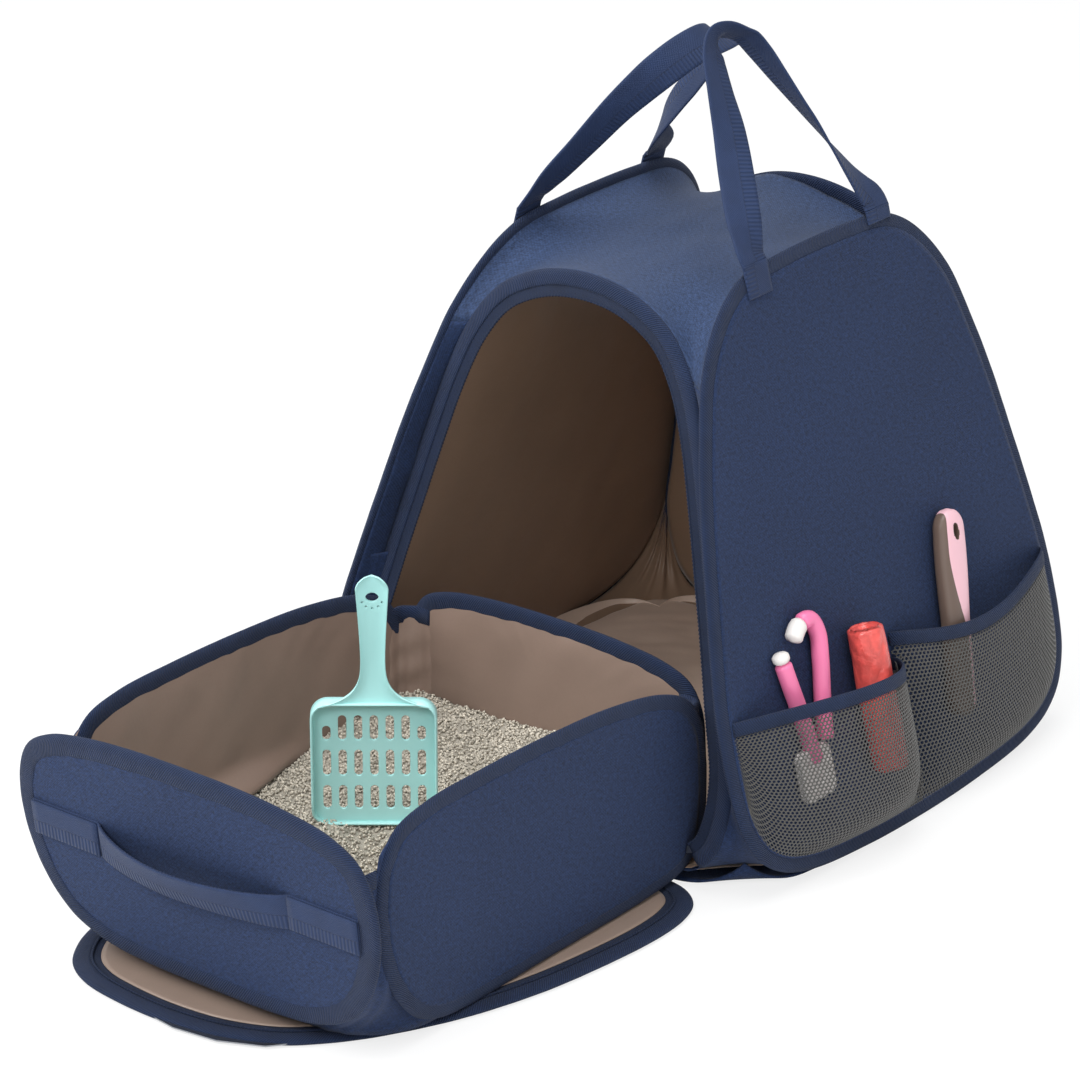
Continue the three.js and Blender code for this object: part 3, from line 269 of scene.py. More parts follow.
# %% Hard finishes
def moulded(name, colour, roughness, coat=0.0, mottle=0.05):
    """Moulded plastic: one colour with a faint cloud in it and a skin that isn't quite flat."""
    made = Finish(name, colour, roughness, Coat_Weight=coat, Coat_Roughness=0.2)
    cloud = made.noise(30, 3)
    made.tint(cloud, 1 - mottle, 1 + mottle)
    made.bump(made.noise(250, 2), 0.00006)
    return made.material


mint = moulded("mint_plastic", (0.42, 0.78, 0.76), 0.32, 0.2)
pink = moulded("pink_plastic", (0.88, 0.20, 0.40), 0.35, 0.2)
white = moulded("white_plastic", (0.80, 0.76, 0.73), 0.35, 0.1)


def film(name, colour):
    """Thin glossy film: sharp creases, so the bump is a ridged noise. The ridges are also tinted lighter as painted
    highlights.
    """
    made = Finish(name, colour, 0.3, Coat_Weight=0.3, Coat_Roughness=0.15)
    ridges_and_glints = (made.noise(55, 4) - 0.5).size()
    # Painted highlight: the crease ridges are tinted lighter, standing in for the film's glints.
    made.tint(ridges_and_glints * 3, 0.7, 1.2)
    made.bump(ridges_and_glints, 0.004)
    return made.material


def rough(name, colour, roughness, scale, detail, depth, **constants):
    """One colour whose skin is roughened by a noise."""
    made = Finish(name, colour, roughness, **constants)
    made.bump(made.noise(scale, detail), depth)
    return made


red_film = film("red_film", (0.98, 0.13, 0.11))
slider_steel = rough("slider_metal", (0.42, 0.43, 0.45), 0.32, 300, 2, 0.0001, Metallic=1.0)
hidden_steel = rough("spring_steel", (0.32, 0.33, 0.35), 0.35, 200, 2, 0.0001, Metallic=1.0)
stiff_board = rough("stiff_board", (0.042, 0.042, 0.045), 0.8, 150, 3, 0.0004)
mesh_thread = rough("net_thread", (0.066, 0.063, 0.058), 0.7, 900, 2, 0.0002, Sheen_Weight=0.2)
litter_grain = rough("litter_grain", (0.55, 0.505, 0.425), 0.95, 1500, 2, 0.0004)
tone = litter_grain.node("ShaderNodeAttribute", {"attribute_name": "tone"}, out="Fac")
litter_grain.tint(tone, 0.45, 1.35)
print("hard finishes ready")

# %% [markdown]
# ## Outlines and surfaces
# Three small tools make nearly every piece: a smooth closed line through a few shares of width and height,
# the same line moved inwards, and a grid of points turned into a mesh. The outline's shares are those of
# the solid part, so the soft pieces lie on their solids.

# %% Outlines
def run_along(points):
    """How far along a line each of its points is."""
    return np.concatenate([[0], np.cumsum(np.linalg.norm(np.diff(points, axis=0), axis=1))])


def even(points, count, endpoint=True):
    """The same line cut into equal lengths, without rounding its corners."""
    run = run_along(points)
    stops = np.linspace(0, run[-1], count, endpoint=endpoint)
    return np.stack([np.interp(stops, run, points[:, k]) for k in range(points.shape[1])], axis=1)


def unit(ways):
    return ways / np.linalg.norm(ways, axis=1)[:, None]


def rising(values, start, length):
    """Nothing up to the start, then up to one over this length: clip((values - start) / length, 0, 1)."""
    return np.clip((values - start) / length, 0, 1)


def smooth_line(points, count, closed=True):
    """A centripetal Catmull-Rom curve through the points, cut into equal lengths."""
    p = np.asarray(points, float)
    q = np.vstack([p[-1:], p, p[:2]]) if closed else np.vstack([2 * p[0] - p[1], p, 2 * p[-1] - p[-2]])
    a, b, c, d = q[:-3], q[1:-2], q[2:-1], q[3:]
    root = lambda m, n: np.sqrt(np.linalg.norm(n - m, axis=1))[:, None, None]
    t1, t2 = root(a, b), root(a, b) + root(b, c)
    t3 = t2 + root(c, d)
    t = t1 + (t2 - t1) * np.linspace(0, 1, 24, endpoint=False)[None, :, None]
    a, b, c, d = (m[:, None] for m in (a, b, c, d))
    ab, bc, cd = a + (b - a) * t / t1, b + (c - b) * (t - t1) / (t2 - t1), c + (d - c) * (t - t2) / (t3 - t2)
    abc, bcd = ab + (bc - ab) * t / t2, bc + (cd - bc) * (t - t1) / (t3 - t1)
    fine = (abc + (bcd - abc) * (t - t1) / (t2 - t1)).reshape(-1, p.shape[1])
    return even(np.vstack([fine, fine[:1] if closed else p[-1:]]), count, not closed)


def mirrored(shares, half_width, height, count=320):
    right = np.array(shares) * (half_width, height)
    return smooth_line(np.vstack([right, right[-2:0:-1] * (-1, 1)]), count)


def inward(line, closed=True):
    """The way inwards at each point of an anticlockwise line: its own way turned a quarter left."""
    along = np.roll(line, -1, 0) - np.roll(line, 1, 0) if closed else np.gradient(line, axis=0)
    along = unit(along)
    return np.stack([-along[:, 1], along[:, 0]], axis=1)


def inset(line, distance):
    return line + inward(line) * distance


def upper_edge(line, places):
    """The outline's height above each place, on its upper half."""
    top = line[line[:, 1] > line[:, 1].mean()]
    top = top[np.argsort(top[:, 0])]
    return np.interp(places, top[:, 0], top[:, 1])


def lower_edge(line, places):
    low = line[line[:, 1] < line[np.argmax(line[:, 0]), 1]]
    low = low[np.argsort(low[:, 0])]
    return np.interp(places, low[:, 0], low[:, 1])


SIDE_SHARES = [
    (0, 0), (0.33, 0.004), (0.66, 0.0195), (0.82, 0.044), (0.915, 0.078), (0.975, 0.13), (1, 0.2),
    (0.996, 0.32), (0.96, 0.433), (0.915, 0.541), (0.868, 0.649), (0.803, 0.758), (0.715, 0.866),
    (0.57, 0.948), (0.42, 0.987), (0.2, 0.998), (0, 1)]
ARCH_SHARES = [
    (0, 0), (0.4, 0.001), (0.69, 0.006), (0.86, 0.024), (0.95, 0.06), (0.992, 0.115), (0.998, 0.205),
    (0.935, 0.32), (0.872, 0.434), (0.804, 0.547), (0.735, 0.661), (0.66, 0.772), (0.572, 0.863),
    (0.44, 0.938), (0.235, 0.985), (0, 1)]
TRAY_SIDE_SHARES = [
    (0.24, 0), (0.5, 0), (0.82, 0.004), (0.92, 0.03), (0.98, 0.11), (1, 0.26), (1, 0.52), (0.985, 0.68),
    (0.94, 0.81), (0.86, 0.895), (0.7, 0.962), (0.5, 0.992), (0.3, 1), (0.15, 0.99), (0.06, 0.94),
    (0.015, 0.82), (0, 0.67), (0.008, 0.46), (0.045, 0.25), (0.105, 0.09), (0.165, 0.025)]
TRAY_FRONT_SHARES = [
    (0, 0), (0.35, 0.005), (0.6, 0.035), (0.78, 0.11), (0.9, 0.235), (0.97, 0.39), (1, 0.55),
    (0.985, 0.72), (0.92, 0.85), (0.78, 0.93), (0.55, 0.975), (0.28, 0.996), (0, 1)]
TRAY_BACK_SHARES = [
    (0, 0), (0.5, 0.002), (0.75, 0.02), (0.91, 0.09), (0.99, 0.23), (1, 0.42), (1, 0.62), (0.975, 0.78),
    (0.9, 0.89), (0.75, 0.95), (0.45, 0.988), (0, 1)]
print("outlines", len(SIDE_SHARES), "points for a side")

# %% Panels and grids
class Panel:
    """A panel's own ways: across its width, up its height and out of its face, in millimetres."""

    def __init__(self, origin, across, up):
        self.origin, self.across, self.up = (np.array(v, float) for v in (origin, across, up))
        self.out = np.cross(self.across, self.up)

    def at(self, u, v, w):
        u, v, w = np.broadcast_arrays(*(np.asarray(k, float) for k in (u, v, w)))
        return self.origin + u[..., None] * self.across + v[..., None] * self.up + w[..., None] * self.out


def grid(name, points, material, body, uv=None, closed=(False, False), stands_for=(), inner=None,
         thick=0.0, tone=None):
    """A mesh from a grid of points (rows, columns, 3) in millimetres. uv is in millimetres too, one row or
    column longer where that way is closed. thick adds a Solidify inwards, with inner as its other face."""
    rows, columns = points.shape[:2]
    i = np.arange(rows if closed[0] else rows - 1)
    j = np.arange(columns if closed[1] else columns - 1)
    i, j = (k.ravel() for k in np.meshgrid(i, j, indexing="ij"))
    around = [(i, j), (i, j + 1), (i + 1, j + 1), (i + 1, j)]
    faces = np.stack([(a % rows) * columns + b % columns for a, b in around], axis=1)
    if uv is None:
        down = run_along(points.mean(1))
        wide = np.concatenate([[0], np.cumsum(np.linalg.norm(np.diff(points, axis=1), axis=2).mean(0))])
        down = np.append(down, 2 * down[-1] - down[-2]) if closed[0] else down
        wide = np.append(wide, 2 * wide[-1] - wide[-2]) if closed[1] else wide
        uv = np.stack(np.meshgrid(wide, down), axis=-1)
    corners = np.stack([uv[a, b] for a, b in around], axis=1).reshape(-1, 2) * MM
    return mesh_piece(name, points.reshape(-1, 3), faces, material, body, corners, stands_for, inner, thick,
                      tone)


def mesh_piece(name, points, faces, material, body, corners=None, stands_for=(), inner=None,
               thick=0.0, tone=None):
    """Puts whole arrays of points (mm) and faces into a mesh, welds doubles, and rides it on its body."""
    mesh = bpy.data.meshes.new(name)
    mesh.from_pydata((np.asarray(points, float) * MM).tolist(), [], np.asarray(faces).tolist())
    if corners is not None:
        layer = mesh.uv_layers.new(name="cloth")
        layer.data.foreach_set("uv", np.asarray(corners, np.float32).ravel())
    if tone is not None:
        set_tone(mesh, tone)
    piece = put(name, mesh)
    weld(mesh)
    mesh.materials.append(material)
    if thick:
        if inner:
            mesh.materials.append(inner)
        wall = piece.modifiers.new("thickness", "SOLIDIFY")
        wall.thickness, wall.offset, wall.use_even_offset = thick * MM, -1, False
        wall.material_offset = wall.material_offset_rim = 1 if inner else 0
    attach(piece, body)
    if stands_for:
        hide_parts(*stands_for)
    return piece


def set_tone(mesh, tones):
    """Gives each point of the mesh a number, which its finish turns into a tone."""
    mesh.attributes.new("tone", "FLOAT", "POINT").data.foreach_set("value", np.asarray(tones, np.float32))


def rework(mesh, change):
    """Opens the mesh for change(work) and writes it back."""
    work = bmesh.new()
    work.from_mesh(mesh)
    change(work)
    work.to_mesh(mesh)
    work.free()


def weld(mesh):
    """Joins points that lie together, as at a pole, and shades the faces smooth."""
    def change(work):
        bmesh.ops.remove_doubles(work, verts=work.verts, dist=1e-6)
        bmesh.ops.dissolve_degenerate(work, edges=work.edges, dist=1e-7)
        for face in work.faces:
            face.smooth = True
    rework(mesh, change)


def face_outwards(piece):
    """Recalculates the normals of a closed shell."""
    rework(piece.data, lambda work: bmesh.ops.recalc_face_normals(work, faces=work.faces))


def cap_ends(piece, sides):
    """Closes the two open ends of a tube with a face each, and turns all its faces outwards."""
    rework(piece.data, lambda work: bmesh.ops.holes_fill(
        work, edges=[edge for edge in work.edges if edge.is_boundary], sides=sides + 2))
    face_outwards(piece)


def sampled(surface, count=160):
    """Points in rows over surface(a, b), which measure a net as the cloth it was cut from, holes and all."""
    a, b = np.meshgrid(np.linspace(0, 1, count), np.linspace(0, 1, count))
    return surface(a.ravel(), b.ravel()).reshape(count, count, 3)


print("panels and grids ready")

# %% [markdown]
# ## A hoop panel
# A real panel is two cloths with a spring-steel hoop between them. The tape is folded over both edges and
# sewn through, which leaves a line of stitches along its inner edge. The tape could be a plain tube. It is
# a folded profile carried round the outline here, because its flat face and its rounded fold both show.

# %% Tape, cloth and lining of a panel
TAPE_PROFILE = np.array([
    (12.1, 2.5), (11.5, 3.15), (9.5, 3.35), (6.5, 3.5), (3.4, 3.3), (1.1, 2.5), (-0.25, 1.1), (-0.6, 0),
    (-0.25, -1.1), (1.1, -2.5), (3.4, -3.3), (6.5, -3.5), (9.5, -3.35), (11.5, -3.15), (12.1, -2.5)])
TAPE_PROFILE_RUN = run_along(TAPE_PROFILE)


def bound_tape(name, panel, line, body, nodes, scale=(1, 1), closed=True):
    """The profile's first number is how far inwards and its second how far out of the face it goes."""
    way = inward(line, closed)
    deep, out = TAPE_PROFILE[:, 0] * scale[0], TAPE_PROFILE[:, 1] * scale[1]
    flat = line[:, None] + way[:, None] * deep[None, :, None]
    steps = np.arange(len(line) + closed) * np.linalg.norm(np.diff(line, axis=0), axis=1).mean()
    ripple = 0.12 * np.sin(np.arange(len(line)) * 0.9) + 0.1 * np.sin(np.arange(len(line)) * 0.37 + 1)
    points = panel.at(flat[..., 0], flat[..., 1], out[None] * (1 + 0.2 * ripple[:, None]))
    run = np.append(TAPE_PROFILE_RUN, TAPE_PROFILE_RUN[-1] + 5) * scale[0]
    uv = np.stack(np.meshgrid(steps, run, indexing="ij"), axis=-1)
    piece = grid(name, points, tape, body, uv, (closed, True), nodes)
    if closed:
        face_outwards(piece)
    else:
        cap_ends(piece, len(deep))
    return piece


def polar(line, rings, depth_at):
    """Rings of the outline drawn towards its middle. depth_at takes the share from the middle, the place
    and the height, and gives how far the cloth stands out of the panel."""
    middle = line.mean(0)
    share = (np.linspace(0, 1, rings) ** 0.85)[:, None]
    u = middle[0] + (line[None, :, 0] - middle[0]) * share
    v = middle[1] + (line[None, :, 1] - middle[1]) * share
    return u, v, depth_at(share, u, v)


def ring_cloth(name, panel, u, v, w, body, nodes, finish, slot, thick, outward):
    """Rings of cloth on a panel. The UV map is the panel's own width and height."""
    points, uv = panel.at(u, v, w), np.stack([u, v], axis=-1)
    uv = np.concatenate([uv, uv[:, :1]], axis=1)
    if not outward:
        points, uv = points[:, ::-1], uv[:, ::-1]
    return grid(name, points, finish, body, uv, (False, True), nodes, None, thick)


def sheet_on(name, panel, line, body, nodes, depth_at, finish, slot, thick, rings=44, outward=True):
    return ring_cloth(name, panel, *polar(line, rings, depth_at), body, nodes, finish, slot, thick, outward)


def creases(u, v, seed, size, long, turn):
    """Soft folds: three waves of different length whose crests wander, added up."""
    draw = np.random.default_rng(seed)
    total = 0
    for k in range(3):
        angle = turn + draw.normal(0, 0.25)
        a, b = math.cos(angle), math.sin(angle)
        phase, wander = draw.uniform(0, 6.28, 2)
        along, across = (u * a + v * b) / long * (1 + 0.6 * k), (v * a - u * b) / (long * 2.4)
        total = total + np.sin(along * 6.28 + phase + 1.3 * np.sin(across * 6.28 + wander)) / (1 + 0.7 * k)
    return size * total / 2.4


def edge_puckers(share, u, v, size, count, width=0.1):
    """Short folds that start at the seam and die out towards the middle."""
    angle = np.arctan2(v - v[-1].mean(), u - u[-1].mean())
    return size * np.sin(angle * count + 2 * np.sin(angle * 5)) * np.exp(-(1 - share) / width) * (1 - share) / width


print("panel makers ready, tape profile", len(TAPE_PROFILE), "points")

# %% [markdown]
# ## The cabin's walls
# Two side walls lean in like a tent and carry the loops, and the back wall closes the end. The left wall's
# lining shows through the doorway, so its satin gets long soft folds.

# %% Side walls
SIDE_FOOT, SIDE_LEAN, SIDE_HALF_DEPTH, SIDE_HEIGHT = 226.5, math.radians(14.57), 226.5, 477
ARCH_FOOT, ARCH_LEAN, ARCH_HALF_WIDTH, ARCH_CROWN = 225.6, math.radians(9.93), 191, 457
FRONT_LIFT, BACK_LIFT = 7.6, 0.6
TAPE_WIDTH, HALF_TAPE = 12, 3
UNDER_TAPE = TAPE_WIDTH - 1.5  # how far inwards the cloth starts
CROWN_START = 385  # above this height the linings are cut further in


def side_panel(side):
    return Panel((side * SIDE_FOOT, 0, HALF_TAPE * math.sin(SIDE_LEAN)), (0, side, 0),
                 (-side * math.sin(SIDE_LEAN), 0, math.cos(SIDE_LEAN)))


def arch_panel(end, lift):
    up = np.array([0, -end * math.sin(ARCH_LEAN), math.cos(ARCH_LEAN)])
    return Panel(np.array([0, end * ARCH_FOOT, 0]) + up * lift, (-end, 0, 0), up)


side_line = mirrored(SIDE_SHARES, SIDE_HALF_DEPTH, SIDE_HEIGHT)
front_line = mirrored(ARCH_SHARES, ARCH_HALF_WIDTH, ARCH_CROWN - FRONT_LIFT)
back_line = mirrored(ARCH_SHARES, ARCH_HALF_WIDTH, ARCH_CROWN - BACK_LIFT)
panels = {"right": side_panel(1), "left": side_panel(-1), "front": arch_panel(-1, FRONT_LIFT),
          "back": arch_panel(1, BACK_LIFT)}


def wall(name, line, seed):
    """One cabin wall: tape, cloth outside and lining inside."""
    panel = panels[name]
    edge = bound_tape(f"{name}_wall_tape", panel, line, "carrier", [f"{name}_binding"])
    field = inset(line, UNDER_TAPE)
    outside = sheet_on(
        f"{name}_wall_cloth", panel, field, "carrier", [f"{name}_panel"],
        lambda s, u, v: 2.45 - 0.9 * (1 - s ** 6) + creases(u, v, seed, 0.35, 150, 1.4) * (1 - s ** 4)
        + edge_puckers(s, u, v, 0.25, 46), cloth, "navy_cloth", 1.2)
    reach = line + inward(line) * (8.2 + 3 * rising(line[:, 1], CROWN_START, 45))[:, None]
    inside = sheet_on(
        f"{name}_wall_lining", panel, reach, "carrier", [f"{name}_lining"],
        lambda s, u, v: -3.9 - (1 - s ** 4) * (0.8 + creases(u, v, seed + 5, 1.0, 120, 0.25))
        + edge_puckers(s, u, v, 0.4, 31), shaded_cabin_satin, "satin_lining", 0.8, outward=False)


for name, seed in (("right", 11), ("left", 23)):
    wall(name, side_line, seed)
print("side walls made")

# %% [markdown]
# ## The back wall
# It can't be seen in the picture. It has a net window for air, held between its two cloths, so cloth and
# lining are rings round an opening. The net is the same knit as the pocket's.

# %% Back wall with its window
WINDOW_HALF, WINDOW_LOW, WINDOW_HIGH, WINDOW_CORNER = 62, 190, 340, 24
WINDOW_MIDDLE, WINDOW_REACH = (WINDOW_LOW + WINDOW_HIGH) / 2, 5


def rounded(half_width, low, high, corner, count):
    """A rectangle with round corners, anticlockwise, cut into equal lengths."""
    turn = np.linspace(0, math.pi / 2, 12)
    arcs = []
    for x, y, k in ((1, 0, 3), (1, 1, 0), (-1, 1, 1), (-1, 0, 2)):
        centre = (x * (half_width - corner), (high - corner) if y else (low + corner))
        arcs.append(np.stack([centre[0] + corner * np.cos(turn + k * math.pi / 2),
                              centre[1] + corner * np.sin(turn + k * math.pi / 2)], axis=1))
    return even(np.vstack(arcs + [arcs[0][:1]]), count, False)


def window_ring(name, panel, outer, w_edge, bulge, nodes, finish, slot, outward, seed):
    """Cloth between the tape and the window: each ray from the window's edge to the tape."""
    angle_of = lambda line: np.arctan2(line[:, 1] - WINDOW_MIDDLE, line[:, 0])
    hole = rounded(WINDOW_HALF, WINDOW_LOW, WINDOW_HIGH, WINDOW_CORNER, 600)
    order = np.argsort(angle_of(hole))
    at = np.interp(angle_of(outer), angle_of(hole)[order], np.arange(600), period=2 * math.pi)
    hole = np.stack([np.interp(at, np.arange(600), hole[order][:, k]) for k in range(2)], axis=1)
    s = np.linspace(0, 1, 30)[:, None]
    u = hole[None, :, 0] + (outer[None, :, 0] - hole[None, :, 0]) * s
    v = hole[None, :, 1] + (outer[None, :, 1] - hole[None, :, 1]) * s
    w = w_edge + bulge * np.sin(math.pi * s) ** 0.7 * (1 + 0.5 * creases(u, v, seed, 1, 120, 1.2))
    piece = ring_cloth(name, panel, u, v, w, "carrier", nodes, finish, slot, 0.9, outward)


bound_tape("back_wall_tape", panels["back"], back_line, "carrier", ["back_binding"])
back_field = inset(back_line, UNDER_TAPE)
window_ring("back_wall_cloth", panels["back"], back_field, 2.2, 0.8, ["back_panel"], cloth, "navy_cloth", True, 31)
back_reach = back_line + inward(back_line) * (4.6 + 9 * rising(back_line[:, 1], CROWN_START, 40))[:, None]
window_ring("back_wall_lining", panels["back"], back_reach, -3.9, -2, ["back_lining"], shaded_cabin_satin, "satin_lining",
            False, 37)
frame_line = rounded(WINDOW_HALF + WINDOW_REACH, WINDOW_LOW - WINDOW_REACH, WINDOW_HIGH + WINDOW_REACH,
                     WINDOW_CORNER + WINDOW_REACH, 200)
bound_tape("window_edge_tape", panels["back"], frame_line, "carrier", (), (0.75, 0.95))
print("back wall made")

# %% [markdown]
# ## Knitted net
# The pocket and the window are a warp-knitted net with six-sided holes about five millimetres apart. A
# picture with a see-through part would be quick, but it has no edge when seen close. Here each hole is a
# real opening: every cell of a honeycomb is a ring of six faces between its own corners and a smaller hole.

# %% Honeycomb
NET_THICK = 0.7


def honeycomb(columns, rows, hole=0.7):
    """Cells in shares of the sheet. Each cell gives six outer and six inner corners, joined by six faces."""
    i, j = (k.ravel() for k in np.meshgrid(np.arange(columns), np.arange(rows), indexing="ij"))
    centre = np.stack([(i + 0.5 + 0.5 * (j % 2)) / (columns + 0.5), (j + 0.667) / (rows + 0.333)], axis=1)
    angle = math.pi / 2 + np.arange(6) * math.pi / 3
    reach = np.array([0.5774 / (columns + 0.5), 0.6667 / (rows + 0.333)])
    ring = np.stack([np.cos(angle), np.sin(angle)], axis=1) * reach
    outer = centre[:, None] + ring[None]
    inner = centre[:, None] + ring[None] * hole
    points = np.concatenate([outer, inner], axis=1).reshape(-1, 2)
    base = (np.arange(len(i)) * 12)[:, None]
    k = np.arange(6)[None]
    faces = np.stack([base + k, base + (k + 1) % 6, base + 6 + (k + 1) % 6, base + 6 + k], axis=-1).reshape(-1, 4)
    return points, faces


def net(name, surface, columns, rows, nodes):
    """A honeycomb laid on surface(a, b), which takes shares across and up and gives points in mm."""
    shares, faces = honeycomb(columns, rows)
    points = surface(np.clip(shares[:, 0], 0, 1), np.clip(shares[:, 1], 0, 1))
    return mesh_piece(name, points, faces, mesh_thread.material, "carrier", None, nodes, None, NET_THICK)


def window_surface(a, b):
    """The net reaches under the window's tape, and its corners are drawn in to the tape's round ones."""
    u = (a * 2 - 1) * (WINDOW_HALF + WINDOW_REACH)
    v = WINDOW_LOW - WINDOW_REACH + b * (WINDOW_HIGH - WINDOW_LOW + 2 * WINDOW_REACH)
    past = np.hypot(np.maximum(np.abs(u) - WINDOW_HALF + WINDOW_CORNER, 0),
                    np.maximum(np.abs(v - WINDOW_MIDDLE) - WINDOW_HIGH + WINDOW_MIDDLE + WINDOW_CORNER, 0))
    past = np.maximum(past - WINDOW_CORNER, 0)
    pull = 0.96 + 0.04 * np.where(past > WINDOW_REACH, WINDOW_REACH / np.maximum(past, 1e-6), 1)
    return panels["back"].at(u * pull, WINDOW_MIDDLE + (v - WINDOW_MIDDLE) * pull, 0.3)


window_net = net("window_net", window_surface, 27, 37, ["back_window_net"])
sampled(window_surface)
print("window net", len(window_net.data.polygons), "faces")

# %% [markdown]
# ## The doorway arch
# The doorway is only a band: the bound tape outside, and inside it half of the zip, whose coil runs along
# the opening's edge. Its legs end at the floor, so the lines are open ones with closed ends.

# %% Arch tape, zip and coil
LEG_FOOT, LEG_HALF = 14, 150


def arch_run(line):
    """The part of the outline from the right leg's foot over the crown to the left leg's foot."""
    keep = (np.abs(line[:, 0]) > LEG_HALF) & (line[:, 1] > LEG_FOOT) | (line[:, 1] > 120)
    at = np.flatnonzero(keep)
    breaks = np.flatnonzero(np.diff(at) > 1)
    order = at if len(breaks) == 0 else np.concatenate([at[breaks[0] + 1:], at[:breaks[0] + 1]])
    return line[order]


arch = arch_run(front_line)
bound_tape("doorway_tape", panels["front"], arch, "carrier", ["front_binding"], closed=False)


def zip_band(name, panel, line, near, far, w, body, nodes, thick, closed=False, steps=6):
    """The zip's tape: cloth between two distances inside a line."""
    way = inward(line, closed)
    deep = np.linspace(near, far, steps)
    flat = line[:, None] + way[:, None] * deep[None, :, None]
    points = panel.at(flat[..., 0], flat[..., 1], w)
    run = np.arange(len(line) + closed) * np.linalg.norm(np.diff(line, axis=0), axis=1).mean()
    uv = np.stack(np.meshgrid(run, deep, indexing="ij"), axis=-1)
    return grid(name, points[:, ::-1], zip_cloth, body, uv[:, ::-1], (closed, False), nodes, None, thick)


zip_band("doorway_zip_tape", panels["front"], arch, UNDER_TAPE, 20.6, 1.9, "carrier", ["front_zip_tape"], 1.3)


def tube(name, middle, radius, body, finish, nodes=(), sides=12, closed=False, blunt=0.0):
    """A round tube along points. radius is one number or one for each point, and blunt rounds its ends."""
    middle = np.asarray(middle, float)
    radius = np.broadcast_to(radius, len(middle)).astype(float)
    if blunt:
        run = run_along(middle)
        near = np.minimum(run, run[-1] - run)
        radius = radius * np.sqrt(np.clip(1 - (1 - np.clip(near / blunt, 0, 1)) ** 2, 1e-4, 1))
    along = np.roll(middle, -1, 0) - np.roll(middle, 1, 0) if closed else np.gradient(middle, axis=0)
    along = unit(along)
    side = unit(np.cross(along, (0.31, 0.17, 0.93)))
    other = np.cross(along, side)
    angle = np.arange(sides) * 2 * math.pi / sides
    points = middle[:, None] + radius[:, None, None] * (
        side[:, None] * np.cos(angle)[None, :, None] + other[:, None] * np.sin(angle)[None, :, None])
    piece = grid(name, points, finish, body, None, (closed, True), nodes)
    if closed:
        face_outwards(piece)
    else:
        cap_ends(piece, sides)
    return piece


def coil(name, panel, line, deep, w, body, closed=False):
    """The zip's coil: a thin bead whose radius swells once for each tooth."""
    way = inward(line, closed)
    path = line + way * deep
    dense = smooth_line(path[::4], len(path) * 5, closed)
    teeth = np.arange(len(dense)) * 2 * math.pi / 4
    return tube(name, panel.at(dense[:, 0], dense[:, 1], np.full(len(dense), w)), 1.15 + 0.3 * np.sin(teeth), body,
                zip_cloth, (), 6, closed)


coil("doorway_zip_coil", panels["front"], arch, 20.2, 1.5, "carrier")
print("doorway made,", len(arch), "stations")

# %% [markdown]
# ## Roof and corner gussets
# The roof is one cloth stretched between the four hoops. Gussets are strips sewn from each arch to the side
# wall beside it; the cloth between two hoops sags inwards, and its slack shows as folds along the seam.

# %% Gussets
TUCK_HEIGHT, TUCK_SLOPE = 14, 2.6  # below this height the corner cloths turn in under the floor
CLOTH_SHOULDER, GUSSET_FOOT, INNER_FACE = 388, 3, (HALF_TAPE + 0.3) / math.cos(SIDE_LEAN)


def half_width_at(line, heights):
    """The outline's half width at each height, on its right side."""
    right = line[line[:, 0] > 0]
    right = right[np.argsort(right[:, 1])]
    return np.interp(heights, right[:, 1], right[:, 0])


def corner_edges(end, z):
    """For a corner of the cabin, folded onto its right back quarter: the arch's edge and the wall's edge."""
    line, lift = (front_line, FRONT_LIFT) if end < 0 else (back_line, BACK_LIFT)
    low = np.maximum(z, TUCK_HEIGHT)
    tuck = (low - z) * TUCK_SLOPE
    near = np.stack([half_width_at(line, low / math.cos(ARCH_LEAN) - lift) + 0.3 - tuck,
                     ARCH_FOOT - z * math.tan(ARCH_LEAN) - tuck, z], axis=-1)
    far = np.stack([SIDE_FOOT - z * math.tan(SIDE_LEAN) - INNER_FACE - tuck,
                    half_width_at(inset(side_line, 3), low / math.cos(SIDE_LEAN)) - tuck, z], axis=-1)
    return near, far


def gusset_rows(end, z, columns):
    """Straight across from the arch's edge to the wall's, with a sag that folds inwards."""
    near, far = corner_edges(end, z)
    b = np.linspace(0, 1, columns)[None, :, None]
    gap = np.linalg.norm(far - near, axis=-1)[:, None]
    height = z[:, None]
    sag = (0.16 * gap + 1.2 * np.sin(height / 13) + 0.8 * np.sin(height / 7 + 2)) * np.sin(math.pi * b[..., 0]) ** 0.8
    sag = sag * np.clip((CLOTH_SHOULDER - height) / 70, 0, 1) * np.clip((height + 12) / 40, 0, 1)
    return near[:, None] + (far - near)[:, None] * b - np.stack([0.707 * sag, 0.707 * sag, 0 * sag], axis=-1)


def gusset(name, side, end):
    points = gusset_rows(end, np.linspace(GUSSET_FOOT, CLOTH_SHOULDER, 90), 14) * (side, end, 1)
    if side * end > 0:
        points = points[:, ::-1]
    piece = grid(f"{name}_cloth", points, cloth, "carrier", None, (False, False), [name], None, 1.0)


CORNERS = (("front_right", 1, -1), ("front_left", -1, -1), ("back_right", 1, 1), ("back_left", -1, 1))
for name, side, end in CORNERS:
    gusset(f"{name}_gusset", side, end)
print("gussets made")

